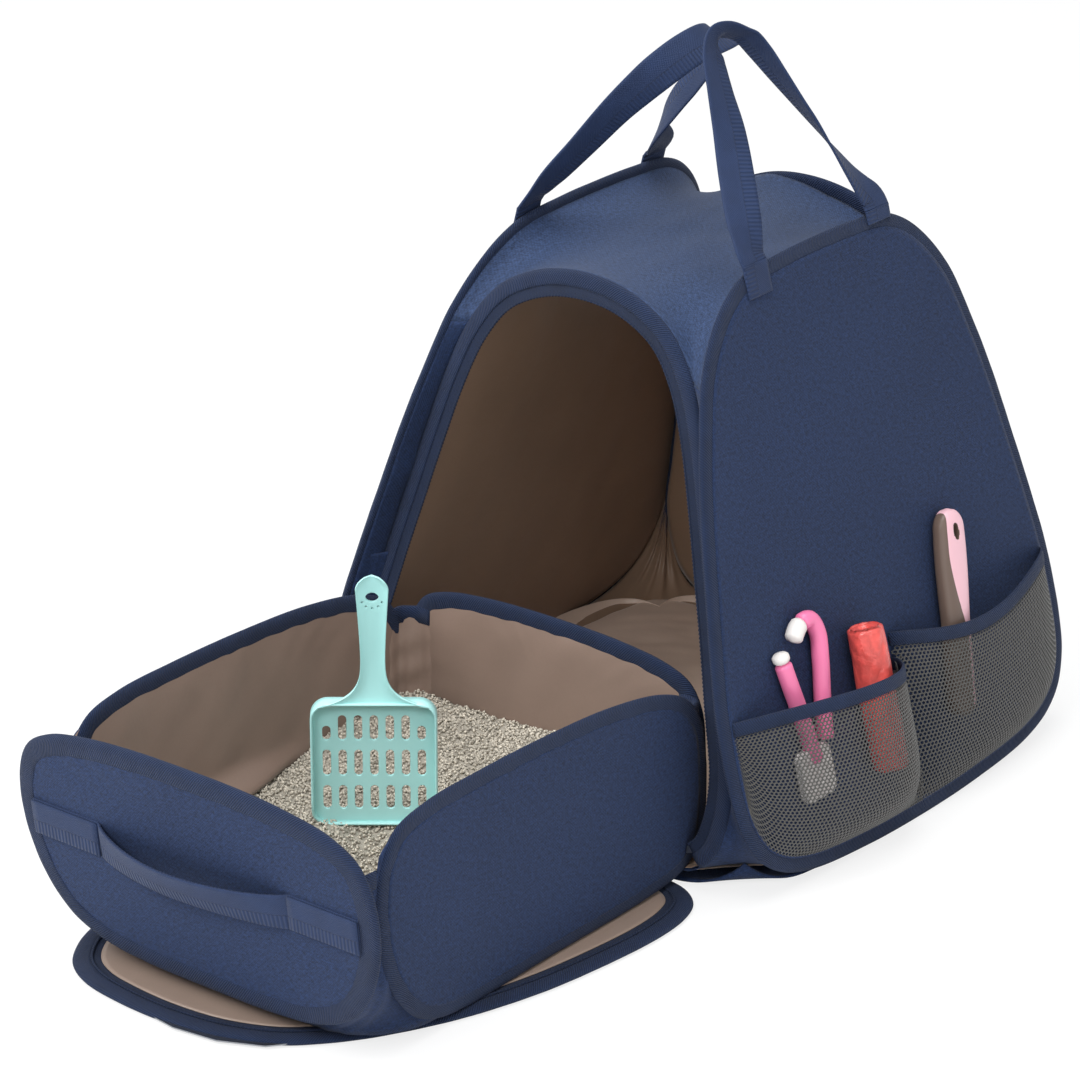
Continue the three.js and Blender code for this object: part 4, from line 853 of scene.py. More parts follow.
# %% Roof
def over_arch(end, count):
    """Left to right over one arch: up to its shoulder by the gusset's top row, then along its outline. At the
    back the roof lies further in, from the left shoulder to past the crown's middle."""
    line, lift, name = (front_line, FRONT_LIFT, "front") if end < 0 else (back_line, BACK_LIFT, "back")
    corner = gusset_rows(end, np.array([float(CLOTH_SHOULDER)]), 6)[0] * (1, end, 1)
    out = np.full(len(line), 0.3)
    if end > 0:
        out -= 11 * rising(-line[:, 0], -40, 60) * rising(line[:, 1], CROWN_START, 30)
    edge = line - inward(line) * out[:, None]
    top = edge[edge[:, 1] > CLOTH_SHOULDER / math.cos(ARCH_LEAN) - lift]
    top = top[np.argsort(top[:, 0])]
    arc = panels[name].at(top[:, 0], top[:, 1], 0 * top[:, 0] - (3.2 if end > 0 else 0))
    arc = arc[np.argsort(arc[:, 0])]
    across = even(np.vstack([corner[:1] * (-1, 1, 1), arc, corner[:1]]), count - 10)
    return np.concatenate([corner[:0:-1] * (-1, 1, 1), across, corner[1:]])


def over_wall(side, count):
    """Front to back over one side wall, on the inner face of its tape, deeper at the middle."""
    rise = np.clip((side_line[:, 1] - 405) / (SIDE_HEIGHT - 405), 0, 1)
    edge = side_line + inward(side_line) * (3 + 4.5 * rise)[:, None]
    corner = corner_edges(1, np.array([float(CLOTH_SHOULDER)]))[1][0]
    top = edge[edge[:, 1] > CLOTH_SHOULDER / math.cos(SIDE_LEAN) + 0.5]
    top = top[np.argsort(top[:, 0])]
    arc = np.stack([SIDE_FOOT - (top[:, 1] * math.cos(SIDE_LEAN)) * math.tan(SIDE_LEAN) - INNER_FACE, top[:, 0],
                    top[:, 1] * math.cos(SIDE_LEAN) + HALF_TAPE * math.sin(SIDE_LEAN)], axis=1)
    return even(np.vstack([corner * (1, -1, 1), arc, corner]), count) * (side, 1, 1)


def stretched(front, back, left, right):
    """A cloth held at four edges. Each inner point goes to the mean of its neighbours until nothing moves."""
    b = np.linspace(0, 1, len(left))[:, None, None]
    cloth_net = (1 - b) * front[None] + b * back[None]
    cloth_net[:, 0], cloth_net[:, -1] = left, right
    for _ in range(6000):
        cloth_net[1:-1, 1:-1] = (cloth_net[:-2, 1:-1] + cloth_net[2:, 1:-1] + cloth_net[1:-1, :-2]
                                 + cloth_net[1:-1, 2:]) / 4
    return cloth_net


roof_grid = stretched(over_arch(-1, 70), over_arch(1, 70), over_wall(-1, 60), over_wall(1, 60))
held = np.sin(math.pi * np.linspace(0, 1, 60))[:, None] * np.sin(math.pi * np.linspace(0, 1, 70))[None]
roof_grid[..., 2] += held ** 0.7 * (3 + creases(roof_grid[..., 0], roof_grid[..., 1], 5, 1.1, 60, 0.3))
# The roof's cloth carries painted light: it is a lighter copy of the navy cloth.
roof = grid("roof_cloth", roof_grid, lit_roof_cloth, "carrier", None, (False, False), ["roof_panel"],
            lining, 1.4)
print("roof made, middle at", round(float(roof_grid[30, 35, 2])), "mm")

# %% Satin in the lower corners
def corner_lining(name, side, end, top=190, columns=46):
    """Inside the gusset the satin goes round the corner. Its ends tuck under the two walls' own linings."""
    z = np.linspace(5, top, 60)
    near, far = corner_edges(end, z)
    share = ((top - z) / top)[:, None]
    tuck, skirt = np.maximum(TUCK_HEIGHT - z, 0) * TUCK_SLOPE, 40 * np.clip((18 - z) / 13, 0, 1) ** 2
    near = near - np.stack([4 + skirt, 3.6 - tuck, 0 * z], axis=-1)
    far = far - np.stack([-tuck, 4 + skirt, 0 * z], axis=-1)
    b = np.linspace(0, 1, columns)[None]
    gap = np.linalg.norm(far - near, axis=-1)[:, None]
    wave = 1.6 * np.sin(b * 31 + 3 * np.sin(z[:, None] / 40)) + 1.2 * np.sin(b * 14 + z[:, None] / 30)
    sag = (2 + 0.2 * gap + wave * (0.4 + share)) * np.sin(math.pi * b) ** 0.7
    rows = near[:, None] + (far - near)[:, None] * b[..., None] - np.stack([sag, sag, 0 * sag], axis=-1) * 0.707
    points = rows * (side, end, 1)
    if side * end < 0:
        points = points[:, ::-1]
    piece = grid(f"{name}_corner_lining", points, shaded_cabin_satin, "carrier", None, (False, False), (),
                 cloth, 0.8)


for name, side, end in CORNERS:
    corner_lining(name, side, end)
print("corner linings made")

# %% [markdown]
# ## The floor
# A cloth base, a stiff board and a thin padded mat in a lighter copy of the lining's satin, painted light
# from the doorway. The mat is stuffed, so it is crowned, and its sides are drawn in between the corners.

# %% Base and mat
HINGE_HEIGHT, DOOR_OVERHANG = 11, 3
DOOR_HINGE = ARCH_FOOT - HINGE_HEIGHT * math.tan(ARCH_LEAN)
BASE_HALF, BASE_FRONT, BASE_BACK = 219, DOOR_HINGE - DOOR_OVERHANG - 0.3, ARCH_FOOT - HALF_TAPE - 0.6
BASE_CORNER, BASE_LIFT, BASE_LIFT_START = 0.125, 20, 0.66


def square(rows):
    a, b = np.meshgrid(np.linspace(-1, 1, rows), np.linspace(-1, 1, rows))
    return a, b


def base_points(rows):
    """A square drawn in and lifted at its corners, where the cloth turns up to the gussets."""
    u, v = square(rows)
    corner = 1 - BASE_CORNER * (u * v) ** 4
    lift = np.clip((np.abs(u * v) - BASE_LIFT_START) / (1 - BASE_LIFT_START), 0, 1) ** 2 * BASE_LIFT
    reach = np.where(v < 0, BASE_FRONT, BASE_BACK)
    return np.stack([u * BASE_HALF * corner, v * reach * corner, 2.0 + lift], axis=-1)


base = grid("base_cloth", base_points(61), cloth, "carrier", None, (False, False), ["base_panel"],
            None, 1.9)


def floor_lining(rows):
    """Satin over base and board. Its edges turn up at the walls and its corners rise with the base's."""
    u, v = square(rows)
    u, v = np.sign(u) * np.abs(u) ** 0.6, np.sign(v) * np.abs(v) ** 0.6
    corner = 1 - 0.27 * np.abs(u * v) ** 4
    lift = 0.05 * BASE_LIFT * np.abs(u * v) ** 4
    turned = 12 * np.maximum(np.abs(u) ** 90, np.where(v > 0, v, 0) ** 90)
    fold = creases(u * 200, v * 200, 47, 0.5, 80, 0.7) * (1 - (u * v) ** 2)
    reach = np.where(v < 0, BASE_FRONT - 1, ARCH_FOOT - 6.2)
    return np.stack([u * (SIDE_FOOT - 7.5) * corner, v * reach * corner, 5.9 + lift + turned + 0.6 * fold], axis=-1)


floor_points = floor_lining(81)
floor_satin = grid("floor_lining", floor_points, lit_mat_satin, "carrier", None, (False, False), (), None,
                   0.5)
MAT_LOW, MAT_EDGE, MAT_CROWN, MAT_HALF, MAT_FRONT, MAT_BACK = 6.0, 8, 9, 203, BASE_FRONT - 40, BASE_BACK - 16


def mat_points(rows):
    """Upper and lower face of a thin cushion: crowned, its sides drawn in, with folds towards its corners."""
    u, v = square(rows)
    pinch_x, pinch_y = 1 - 0.03 * (1 - v * v), 1 - 0.03 * (1 - u * u)
    corner = 1 - 0.1 * u * u * v * v
    x = u * MAT_HALF * pinch_x * corner
    y = v * np.where(v < 0, MAT_FRONT, MAT_BACK) * pinch_y * corner
    plump = np.sqrt(np.clip((1 - u ** 4) * (1 - v ** 4), 0, 1))
    fold = creases(x, y, 41, 1.5, 90, 0.9) * plump + creases(x, y, 43, 0.7, 40, 2.2) * plump
    edge = 2.5 * np.sin(np.arctan2(v, u) * 40) * np.exp(-(1 - np.maximum(np.abs(u), np.abs(v))) / 0.03) * 0.2
    top = MAT_LOW + MAT_EDGE / 2 + (MAT_EDGE / 2 + MAT_CROWN) * plump ** 0.6 + fold + edge
    low = MAT_LOW + MAT_EDGE / 2 * (1 - plump ** 0.4)
    return np.stack([x, y, top], axis=-1), np.stack([x, y, low + 0 * x], axis=-1)


def closed_pad(name, top, low, finish, body, nodes, slot):
    """Joins two grids that share their border into one closed shell."""
    rows, columns = top.shape[:2]
    i, j = (k.ravel() for k in np.meshgrid(np.arange(rows - 1), np.arange(columns - 1), indexing="ij"))
    a = i * columns + j
    over = np.stack([a, a + 1, a + columns + 1, a + columns], axis=1)
    under = over[:, ::-1] + rows * columns
    rim = np.concatenate([np.arange(columns - 1), np.arange(rows - 1) * columns + columns - 1,
                          rows * columns - 1 - np.arange(columns - 1), (rows - 1 - np.arange(rows - 1)) * columns])
    after = np.roll(rim, -1)
    wall_faces = np.stack([rim, rim + rows * columns, after + rows * columns, after], axis=1)
    faces = np.concatenate([over, under, wall_faces])
    points = np.concatenate([top.reshape(-1, 3), low.reshape(-1, 3)])
    corners = points[faces.ravel()][:, :2] * MM
    piece = mesh_piece(name, points, faces, finish, body, corners, nodes)
    face_outwards(piece)
    return piece


mat = closed_pad("floor_mat_cushion", *mat_points(90), lit_mat_satin, "carrier", ["floor_mat"], "satin_lining")
print("floor made, mat", len(mat.data.polygons), "faces")

# %% [markdown]
# ## The pocket
# Two nets bulge over what they hold and are gathered into a bound edge at the top. The other three sides
# are sewn down beside the wall's tape.

# %% Pocket nets and their bound edges
POCKET_FRONT, POCKET_BACK, POCKET_DIVIDER = -213.5, 213.5, -8
POCKET_TOPS = {"front": (151 - 11, 136 - 11), "back": (154 - 11, 154 - 11)}
POCKET_BULGE = {"front": (46, 1.7), "back": (24, 1.0)}


def pocket_local(which, a, b):
    """The net as the solid has it: straight up from the sewn edge, with a swell that is widest half way."""
    start, end = (POCKET_FRONT, POCKET_DIVIDER - 2.8) if which == "front" else (POCKET_DIVIDER + 2.8, POCKET_BACK)
    bulge, skew = POCKET_BULGE[which]
    tops = POCKET_TOPS[which]
    u = start + (end - start) * a
    low = lower_edge(inset(side_line, TAPE_WIDTH - 0.3), u)
    hang = 0 if which == "front" else 17 * np.sin(math.pi * a ** 0.85) ** 1.5
    v = low + (np.maximum(tops[0] + (tops[1] - tops[0]) * a - hang, low + 8) - low) * b
    swell = np.clip(np.sin(math.pi * a ** skew), 0, 1) ** 0.6 * (1 - (1 - b) ** 6)
    return u, v, 3.6 + bulge * swell


def pocket(which, columns, rows):
    panel = panels["right"]
    piece = net(f"{which}_pocket_mesh", lambda a, b: panel.at(*pocket_local(which, a, b)), columns, rows,
                [f"{which}_pocket_net"])
    a = np.linspace(0, 1, 120)
    u, v, w = pocket_local(which, a, np.ones_like(a))
    middle = np.stack([u, v + 5.8, w], axis=1)
    profile = np.array([(-5.6, 0.2), (-5.2, 1.2), (-2, 1.5), (2, 1.55), (5, 1.2), (5.9, 0), (5, -1.2), (2, -1.5),
                        (-2, -1.5), (-5.2, -1.2)])
    points = panel.at(middle[:, None, 0] + 0 * profile[None, :, 0], middle[:, None, 1] + profile[None, :, 0],
                      middle[:, None, 2] + profile[None, :, 1])
    around = np.array([1.0, 2, 5, 9, 10.6, 12, 14, 17, 21, 25, 27])
    uv = np.stack(np.meshgrid(run_along(middle), around, indexing="ij"), axis=-1)
    edge = grid(f"{which}_pocket_tape", points, tape, "carrier", uv, (False, True), [f"{which}_pocket_binding"])
    cap_ends(edge, len(profile))
    sampled(lambda a, b: panel.at(*pocket_local(which, a, b)))
    return piece


for which, columns in (("front", 58), ("back", 60)):
    made = pocket(which, columns, 40)
    print(which, "net", len(made.data.polygons), "faces")


def divider_surface(a, b):
    """A doubled strip of net where the two pockets are sewn to the wall."""
    u = POCKET_DIVIDER - 16 + 24 * a
    low = lower_edge(inset(side_line, TAPE_WIDTH - 0.3), u)
    swell = np.where(u < POCKET_DIVIDER, 20 * np.abs((POCKET_DIVIDER - u) / 16) ** 0.7,
                     6 * np.abs((u - POCKET_DIVIDER) / 8) ** 0.7)
    return panels["right"].at(u, low + (134 - low) * b, 4.2 + swell * (1 - (1 - b) ** 5) * 0.9)


strip = net("pocket_divider_net", divider_surface, 9, 44, ())
sampled(divider_surface)

# %% [markdown]
# ## The loops
# Two loops of webbing are sewn to the side walls. They stand up and lean on each other, and each twists so
# that its flat side faces forwards at the top.

# %% Webbing
WEB_THICK, HALF_SPAN = 2, 81.5
LOOP_APEX = {"right": (12, 0, 618), "left": (-4, 0, 610)}
LOOP_SHARES = {
    "right": [
        (-1, 0, 1), (-1, 0.05, 1), (-0.94, 0.12, 0.95), (-0.892, 0.174, 0.89), (-0.715, 0.357, 0.87),
        (-0.519, 0.559, 0.933), (-0.398, 0.721, 1.02), (-0.288, 0.854, 1.067), (-0.174, 0.925, 1.15),
        (-0.05, 0.95, 1.36), (0.08, 0.95, 1.5), (0.19, 0.93, 1.55), (0.3, 0.9, 1.567), (0.39, 0.819, 1.58),
        (0.491, 0.688, 1.63), (0.585, 0.566, 1.68), (0.674, 0.455, 1.72), (0.805, 0.268, 1.82),
        (0.877, 0.171, 1.88), (0.945, 0.1, 1.95), (1, 0.05, 2), (1, 0, 2)],
    "left": [
        (-1, 0, 0), (-1, 0.05, 0), (-0.96, 0.11, -0.04), (-0.904, 0.19, -0.09), (-0.751, 0.349, -0.133),
        (-0.563, 0.571, -0.21), (-0.4, 0.68, -0.28), (-0.253, 0.755, -0.355), (0.047, 0.85, -0.45),
        (0.341, 0.875, -0.46), (0.62, 0.85, -0.62), (0.76, 0.79, -0.93), (0.77, 0.7, -1.18),
        (0.695, 0.571, -1.27), (0.63, 0.439, -1.28), (0.66, 0.278, -1.22), (0.78, 0.15, -1.13),
        (0.93, 0.09, -1.05), (1, 0.05, -1), (1, 0, -1)]}
WEB_PROFILE = np.array([
    (-15, 0.35), (-14.6, 0.95), (-12, 1.05), (0, 1.05), (12, 1.05), (14.6, 0.95), (15, 0.35),
    (15, -0.35), (14.6, -0.95), (12, -1.05), (0, -1.05), (-12, -1.05), (-14.6, -0.95), (-15, -0.35)])
WEB_AROUND = np.array([0, 0.8, 3, 15, 27, 29.4, 30, 0, 0.8, 3, 15, 27, 29.4, 30, 31.0])


def web(name, middle, across, face, body, nodes, profile=WEB_PROFILE):
    """The flat profile carried along stations that say which way its width and its face go."""
    points = (middle[:, None] + across[:, None] * profile[None, :, :1] + face[:, None] * profile[None, :, 1:])
    uv = np.stack(np.meshgrid(run_along(middle), WEB_AROUND, indexing="ij"), axis=-1)
    piece = grid(name, points, webbing, body, uv, (False, True), nodes)
    cap_ends(piece, len(profile))
    return piece


def loop_stations(word, count=170):
    """Each station is a share of the span, a share of the rise and a number of half turns of the webbing."""
    side, panel = (1 if word == "right" else -1), panels[word]
    foot = panel.at(0, SIDE_HEIGHT + 1.45, HALF_TAPE + 0.3 + WEB_THICK / 2)
    rise = np.array(LOOP_APEX[word], float) - foot
    length = np.linalg.norm(rise)
    up, y = rise / length, np.array([0.0, 1, 0])
    out = np.cross(y, up) * side
    path = smooth_line(np.array(LOOP_SHARES[word]) * (HALF_SPAN, length + 0.5, 40), count, closed=False)
    middle = foot + path[:, :1] * y + (path[:, 1:2] - 0.5) * up
    forward = unit(np.gradient(middle, axis=0))
    turn = path[:, 2:] / 40 * math.pi
    across = np.cross(out, forward) * np.cos(turn) + out * np.sin(turn)
    return middle, across, np.cross(forward, across)


for word in ("right", "left"):
    middle, across, face = loop_stations(word)
    web(f"{word}_loop", middle, across, face, f"{word}_handle", [f"{word}_handle"])
    panel = panels[word]
    for place, hidden in ((-1, 24), (1, 9)):
        v = np.linspace(SIDE_HEIGHT - hidden, SIDE_HEIGHT + 2.2, 12)
        end = "front" if place < 0 else "back"
        lie = panel.at(np.full(12, place * HALF_SPAN * panel.across[1]), v, HALF_TAPE + 1.35 + 0 * v)
        web(f"{word}_loop_end_{end}", lie, np.tile(panel.across, (12, 1)), np.tile(panel.out, (12, 1)),
            "carrier", [f"{word}_handle_patch_{end}"])
print("loops made, first is", round(float(np.linalg.norm(np.diff(middle, axis=0), axis=1).sum())), "mm long")

# %% [markdown]
# ## The front door
# Unzipped, the door lies on the floor in front of the doorway with its lining up. A flat band with the
# zip's other half runs inside the tape, and the satin lies loose inside that.

# %% Door
DOOR_LENGTH, DOOR_TAPE = 418, 13
door_panel = Panel((0, DOOR_OVERHANG - DOOR_HINGE, HALF_TAPE), (1, 0, 0), (0, -1, 0))
DOOR_SHARES = [
    (0, 0), (0.69, 0.006), (0.86, 0.024), (0.95, 0.06), (0.995, 0.115), (1.01, 0.2), (0.985, 0.34), (0.93, 0.49),
    (0.83, 0.64), (0.7, 0.765), (0.56, 0.86), (0.4, 0.93), (0.18, 0.975), (-0.05, 0.992), (-0.3, 0.99),
    (-0.52, 0.972), (-0.66, 0.935), (-0.76, 0.87), (-0.82, 0.79), (-0.865, 0.69), (-0.92, 0.54), (-0.97, 0.38),
    (-1.0, 0.22), (-0.992, 0.115), (-0.95, 0.06), (-0.86, 0.024), (-0.69, 0.006)]
door_line = smooth_line(np.array(DOOR_SHARES) * (ARCH_HALF_WIDTH, DOOR_LENGTH), 320)
door_tape = bound_tape("door_tape", door_panel, door_line, "door", ["door_binding"], (13 / 12, 0.79))
door_field = inset(door_line, DOOR_TAPE - 1.5)
door_inner = inset(door_line, DOOR_TAPE + 8)
door_cloth = sheet_on("door_cloth", door_panel, door_field, "door", ["door_panel"],
                      lambda s, u, v: 2.3 + 0 * u * s, cloth, "navy_cloth", 1.2)
door_band = zip_band("door_zip_band", door_panel, door_line, DOOR_TAPE - 1.5, DOOR_TAPE + 8.6, -2.2, "door",
                     ["door_zip_tape"], -1.0, closed=True)
coil("door_zip_coil", door_panel, door_line, DOOR_TAPE + 1.2, -2.9, "door", closed=True)


def door_folds(share, u, v):
    """The satin lies nearly flat under the tray and rises in loose folds in front of it."""
    free = np.clip((v - 345) / 40, 0, 1)
    return -2.3 - (1 - share ** 3) * (0.3 + (1.5 + creases(u, v, 53, 1.6, 50, 0.2)) * free)


door_satin = sheet_on("door_lining_cloth", door_panel, door_inner, "door", ["door_lining"], door_folds, lining,
                      "satin_lining", 0.7, outward=False)
print("door made")

# %% [markdown]
# ## The litter tray
# Four small hoop panels stand round a soft box. Outside they are navy and inside satin. The box's corners
# are only gathered cloth, so they are lower than the walls and fold.

# %% Tray walls
TRAY_HALF, TRAY_FRONT, TRAY_BACK, TRAY_BACK_WALL, TRAY_FOOT = 151, -585, -192, -188.1, 7.1
FRONT_WALL_FOOT, FRONT_WALL_LEAN, FRONT_WALL_LOW = 592, math.radians(7.4), 17
leaning = np.array([0, -math.sin(FRONT_WALL_LEAN), math.cos(FRONT_WALL_LEAN)])
tray_panels = {
    "front": Panel(np.array([0, -FRONT_WALL_FOOT, 0]) + leaning * FRONT_WALL_LOW, (1, 0, 0), leaning),
    "back": Panel((0, TRAY_BACK_WALL, TRAY_FOOT), (-1, 0, 0), (0, 0, 1)),
    "right": Panel((TRAY_HALF, 0, TRAY_FOOT), (0, 1, 0), (0, 0, 1)),
    "left": Panel((-TRAY_HALF, 0, TRAY_FOOT), (0, -1, 0), (0, 0, 1))}
along = np.array([(TRAY_FRONT + a * (TRAY_BACK - TRAY_FRONT), b * 185) for a, b in TRAY_SIDE_SHARES])
tray_lines = {
    "right": smooth_line(along, 240), "left": smooth_line(along[::-1] * (-1, 1), 240),
    "front": mirrored(TRAY_FRONT_SHARES, 174, 190, 240), "back": mirrored(TRAY_BACK_SHARES, 148, 167, 240)}


def shelf(name, u, v):
    """On the left wall the satin has slipped down and lies in a fold on the litter."""
    if name != "left":
        return 0 * u
    return 26 * np.exp(-((v - 60) / 9) ** 2) * np.exp(-((u - 440) / 75) ** 2)


def tray_wall(name, seed):
    panel, line = tray_panels[name], tray_lines[name]
    size = (1.3, 1.25) if name == "front" else (1.12, 1)
    edge = bound_tape(f"tray_{name}_tape", panel, line, "tray", [f"tray_{name}_binding"], size)
    field = inset(line, UNDER_TAPE)
    outside = sheet_on(
        f"tray_{name}_cloth", panel, field, "tray", [f"tray_{name}_panel"],
        lambda s, u, v: 2.2 + (1 - s ** 4) * (0.5 + creases(u, v, seed, 0.5, 110, 1.2))
        + edge_puckers(s, u, v, 0.3, 34), cloth, "navy_cloth", 1.2)
    inside = sheet_on(
        f"tray_{name}_lining", panel, field, "tray", (),
        lambda s, u, v: -2.2 - (1 - s ** 5) * (3.2 + creases(u, v, seed + 4, 1.5, 95, 0.5) + shelf(name, u, v))
        + edge_puckers(s, u, v, 0.55, 23), tray_satin, "satin_lining", 0.7, outward=False)


for name, seed in (("right", 61), ("left", 67), ("front", 71), ("back", 73)):
    tray_wall(name, seed)
print("tray walls made")

# %% Soft liner
LINER_FLOOR, FRONT_CORNER_TOP, BACK_CORNER_TOP, CORNER_REACH = 10.1, 156, 146, 26
RIM_INSET, FOOT_CORNER, TRAY_MIDDLE = 9, 62, (TRAY_FRONT + TRAY_BACK) / 2


def liner_points(count, rows):
    """Goes once round the box. Each point's height is a share of the wall's top there; corners are lower."""
    half, back = TRAY_HALF - 0.2, TRAY_BACK_WALL - 0.2
    front_at = lambda z: 0.2 - FRONT_WALL_FOOT - z * math.tan(FRONT_WALL_LEAN)
    plan = rounded(half, front_at(0), back, 14, count)
    foot_plan = rounded(half - 4, front_at(0) + 14, back - 4, FOOT_CORNER, count)
    top_side = upper_edge(inset(tray_lines["right"], RIM_INSET), plan[:, 1]) + TRAY_FOOT
    top_front = upper_edge(inset(tray_lines["front"], RIM_INSET), plan[:, 0]) + FRONT_WALL_LOW
    top_back = upper_edge(inset(tray_lines["back"], RIM_INSET), plan[:, 0]) + TRAY_FOOT
    at_side = np.abs(np.abs(plan[:, 0]) - half) < 1.0
    at_front = plan[:, 1] < front_at(0) + 1.0
    top = np.where(at_side, top_side, np.where(at_front, top_front * math.cos(FRONT_WALL_LEAN), top_back))
    corner = np.maximum(half - np.abs(plan[:, 0]), 0)
    reach = np.maximum(np.minimum(plan[:, 1] - front_at(0), back - plan[:, 1]), 0)
    near_corner = np.exp(-((corner + reach) / CORNER_REACH) ** 2)
    corner_top = np.where(plan[:, 1] < TRAY_MIDDLE, FRONT_CORNER_TOP, BACK_CORNER_TOP)
    top = np.where(corner + reach < CORNER_REACH, corner_top, top)
    t = np.linspace(0, 1, rows)[:, None]
    z = LINER_FLOOR - 2 + (top[None] - LINER_FLOOR + 2) * t
    lean = np.clip((front_at(0) + 120 - plan[:, 1]) / 120, 0, 1)[None] * z * math.tan(FRONT_WALL_LEAN)
    middle = np.array([0, (front_at(0) + back) / 2])
    way = unit(middle - plan)
    run = np.arange(count)
    pleat = np.where(plan[:, 1] > -300, 12.5, 3) + 2.4 * np.sin(run * 1.1) + 1.5 * np.sin(run * 0.45 + 1)
    pleat = near_corner * pleat
    deep = (0.35 + 0.65 * np.sin(math.pi * np.clip(t, 0, 1)) ** 0.8) * pleat[None]
    deep = deep + near_corner[None] * 1.3 * np.sin(z / 4 + run[None] * 0.25) * np.sin(math.pi * t)
    low = np.clip(1 - (z - LINER_FLOOR) / 58, 0, 1) ** 2
    x = plan[None, :, 0] + way[None, :, 0] * deep + (foot_plan - plan)[None, :, 0] * low
    y = plan[None, :, 1] + way[None, :, 1] * deep - lean + (foot_plan - plan)[None, :, 1] * low
    return np.stack([x, y, z + 0 * x], axis=-1)


liner_wall = liner_points(420, 30)


TAB_PROFILE = np.array([
    (-2.4, -12), (-2.6, 0), (-1.4, 1.8), (0.8, 1.8), (2.2, 0), (2.0, -12), (0.6, -12.6), (-1, -12.6)])


def corner_tabs():
    """A short piece of tape is folded over the soft box's edge at each corner."""
    rim = liner_wall[-1]
    middle = np.array([0, TRAY_MIDDLE])
    for k, (x, y) in enumerate(((1, -1), (1, 1), (-1, 1), (-1, -1))):
        corner = np.array([x * TRAY_HALF, TRAY_BACK_WALL if y > 0 else TRAY_FRONT - 24])
        near = np.flatnonzero(np.linalg.norm(rim[:, :2] - corner, axis=1) < 27)
        breaks = np.flatnonzero(np.diff(near) > 1)
        if len(breaks):
            near = np.concatenate([near[breaks[0] + 1:], near[:breaks[0] + 1]])
        line = rim[near]
        way = np.concatenate([unit(middle - line[:, :2]), np.zeros((len(line), 1))], axis=1)
        points = (line[:, None] + way[:, None] * TAB_PROFILE[None, :, :1]
                  + np.array([0, 0, 1]) * TAB_PROFILE[None, :, 1:])
        piece = grid(f"tray_corner_tab_{k + 1}", points, tape, "tray", None, (False, True), ())
        cap_ends(piece, len(TAB_PROFILE))


corner_tabs()
floor_rings = np.linspace(1, 0, 14)[:, None]
floor_edge = liner_wall[0]
floor_middle = floor_edge.mean(0)
floor_part = floor_middle + (floor_edge[None] - floor_middle) * floor_rings[1:, :, None]
liner_grid = np.concatenate([liner_wall[::-1], floor_part])
liner = grid("tray_liner_cloth", liner_grid, tray_satin, "tray", None, (False, True), ["tray_liner"],
             cloth, 1.2)
# Laid flat, a box is its floor with a wall on each side, so each way it measures the floor and two heights
print("liner made")

# %% [markdown]
# ## The strap on the tray's front
# A length of webbing is sewn down at both ends and stands off the wall between them, so that fingers go
# behind it. A second, narrower layer lies on each sewn end.

# %% Strap
STRAP_HALF, STRAP_SEWN, STRAP_HUMP, STRAP_PLACE = 159, 66, 17, 102


def strap():
    panel = tray_panels["front"]
    u = np.linspace(-STRAP_HALF, STRAP_HALF, 140)
    free = STRAP_HALF - STRAP_SEWN
    hump = np.clip(1 - (u / free) ** 2, 0, 1) ** 0.8
    w = 3.9 + STRAP_HUMP * hump
    sag = -3.5 * hump + 1.5 * np.sin(u / 40) * hump
    middle = panel.at(u, STRAP_PLACE + sag, w)
    way = unit(np.gradient(middle, axis=0))
    tilt = (0.35 * hump)[:, None]
    across = panel.up * np.cos(tilt) + panel.out * np.sin(tilt)
    across = unit(across - way * (across * way).sum(1)[:, None])
    return web("front_strap", middle, across, np.cross(way, across), "tray", ["tray_strap"])


strap()
for word, place in (("left", -1), ("right", 1)):
    panel = tray_panels["front"]
    u = np.linspace(-1, 1, 12) * STRAP_SEWN / 2 + place * (STRAP_HALF - STRAP_SEWN / 2)
    lie = panel.at(u, np.full(12, STRAP_PLACE), np.full(12, 5.9))
    web(f"strap_end_{word}", lie, np.tile(panel.up, (12, 1)), np.tile(panel.out, (12, 1)), "tray", (),
        WEB_PROFILE * (0.96, 0.8))
print("strap made")

# %% [markdown]
# ## Litter
# Clay litter is thousands of small grains. Instancing would be light, but the grains must end up in one
# mesh, so a grain with eight faces is repeated and turned by whole arrays, over a bumpy heap that fills
# the gaps between them.

# %% Heap and grains
LITTER_LOW, LITTER_DEPTH, LITTER_BACK_RISE, LITTER_RIGHT_RISE = 10.4, 48.6, 16, 9
SCOOP_PLACE, SCOOP_TURN = np.array([-14.0, -392.0]), math.radians(38.5)
LITTER_GAP, HEAP_SHADE_TONE = 5.4, 0.25


def heap_height(a, b):
    """Shares across and towards the back: it climbs to the back and the right, with low mounds."""
    rise = LITTER_DEPTH + LITTER_BACK_RISE * b * b + LITTER_RIGHT_RISE * a
    mounds = 3 * np.sin((a * 2 - 1) * 4) * np.cos(b * 7) + 2.2 * np.sin(a * 17 + 2) * np.sin(b * 19)
    dip = 21 * np.exp(-(((a - 0.56) * 300 / 48) ** 2 + ((b - 0.44) * 400 / 48) ** 2))
    return LITTER_LOW + rise + mounds - dip


def heap_place(a, b, z):
    half, back = TRAY_HALF - LITTER_GAP, TRAY_BACK_WALL - LITTER_GAP
    front = LITTER_GAP - FRONT_WALL_FOOT - z * math.tan(FRONT_WALL_LEAN)
    return np.stack([(a * 2 - 1) * half, front + (back - front) * b, z], axis=-1)


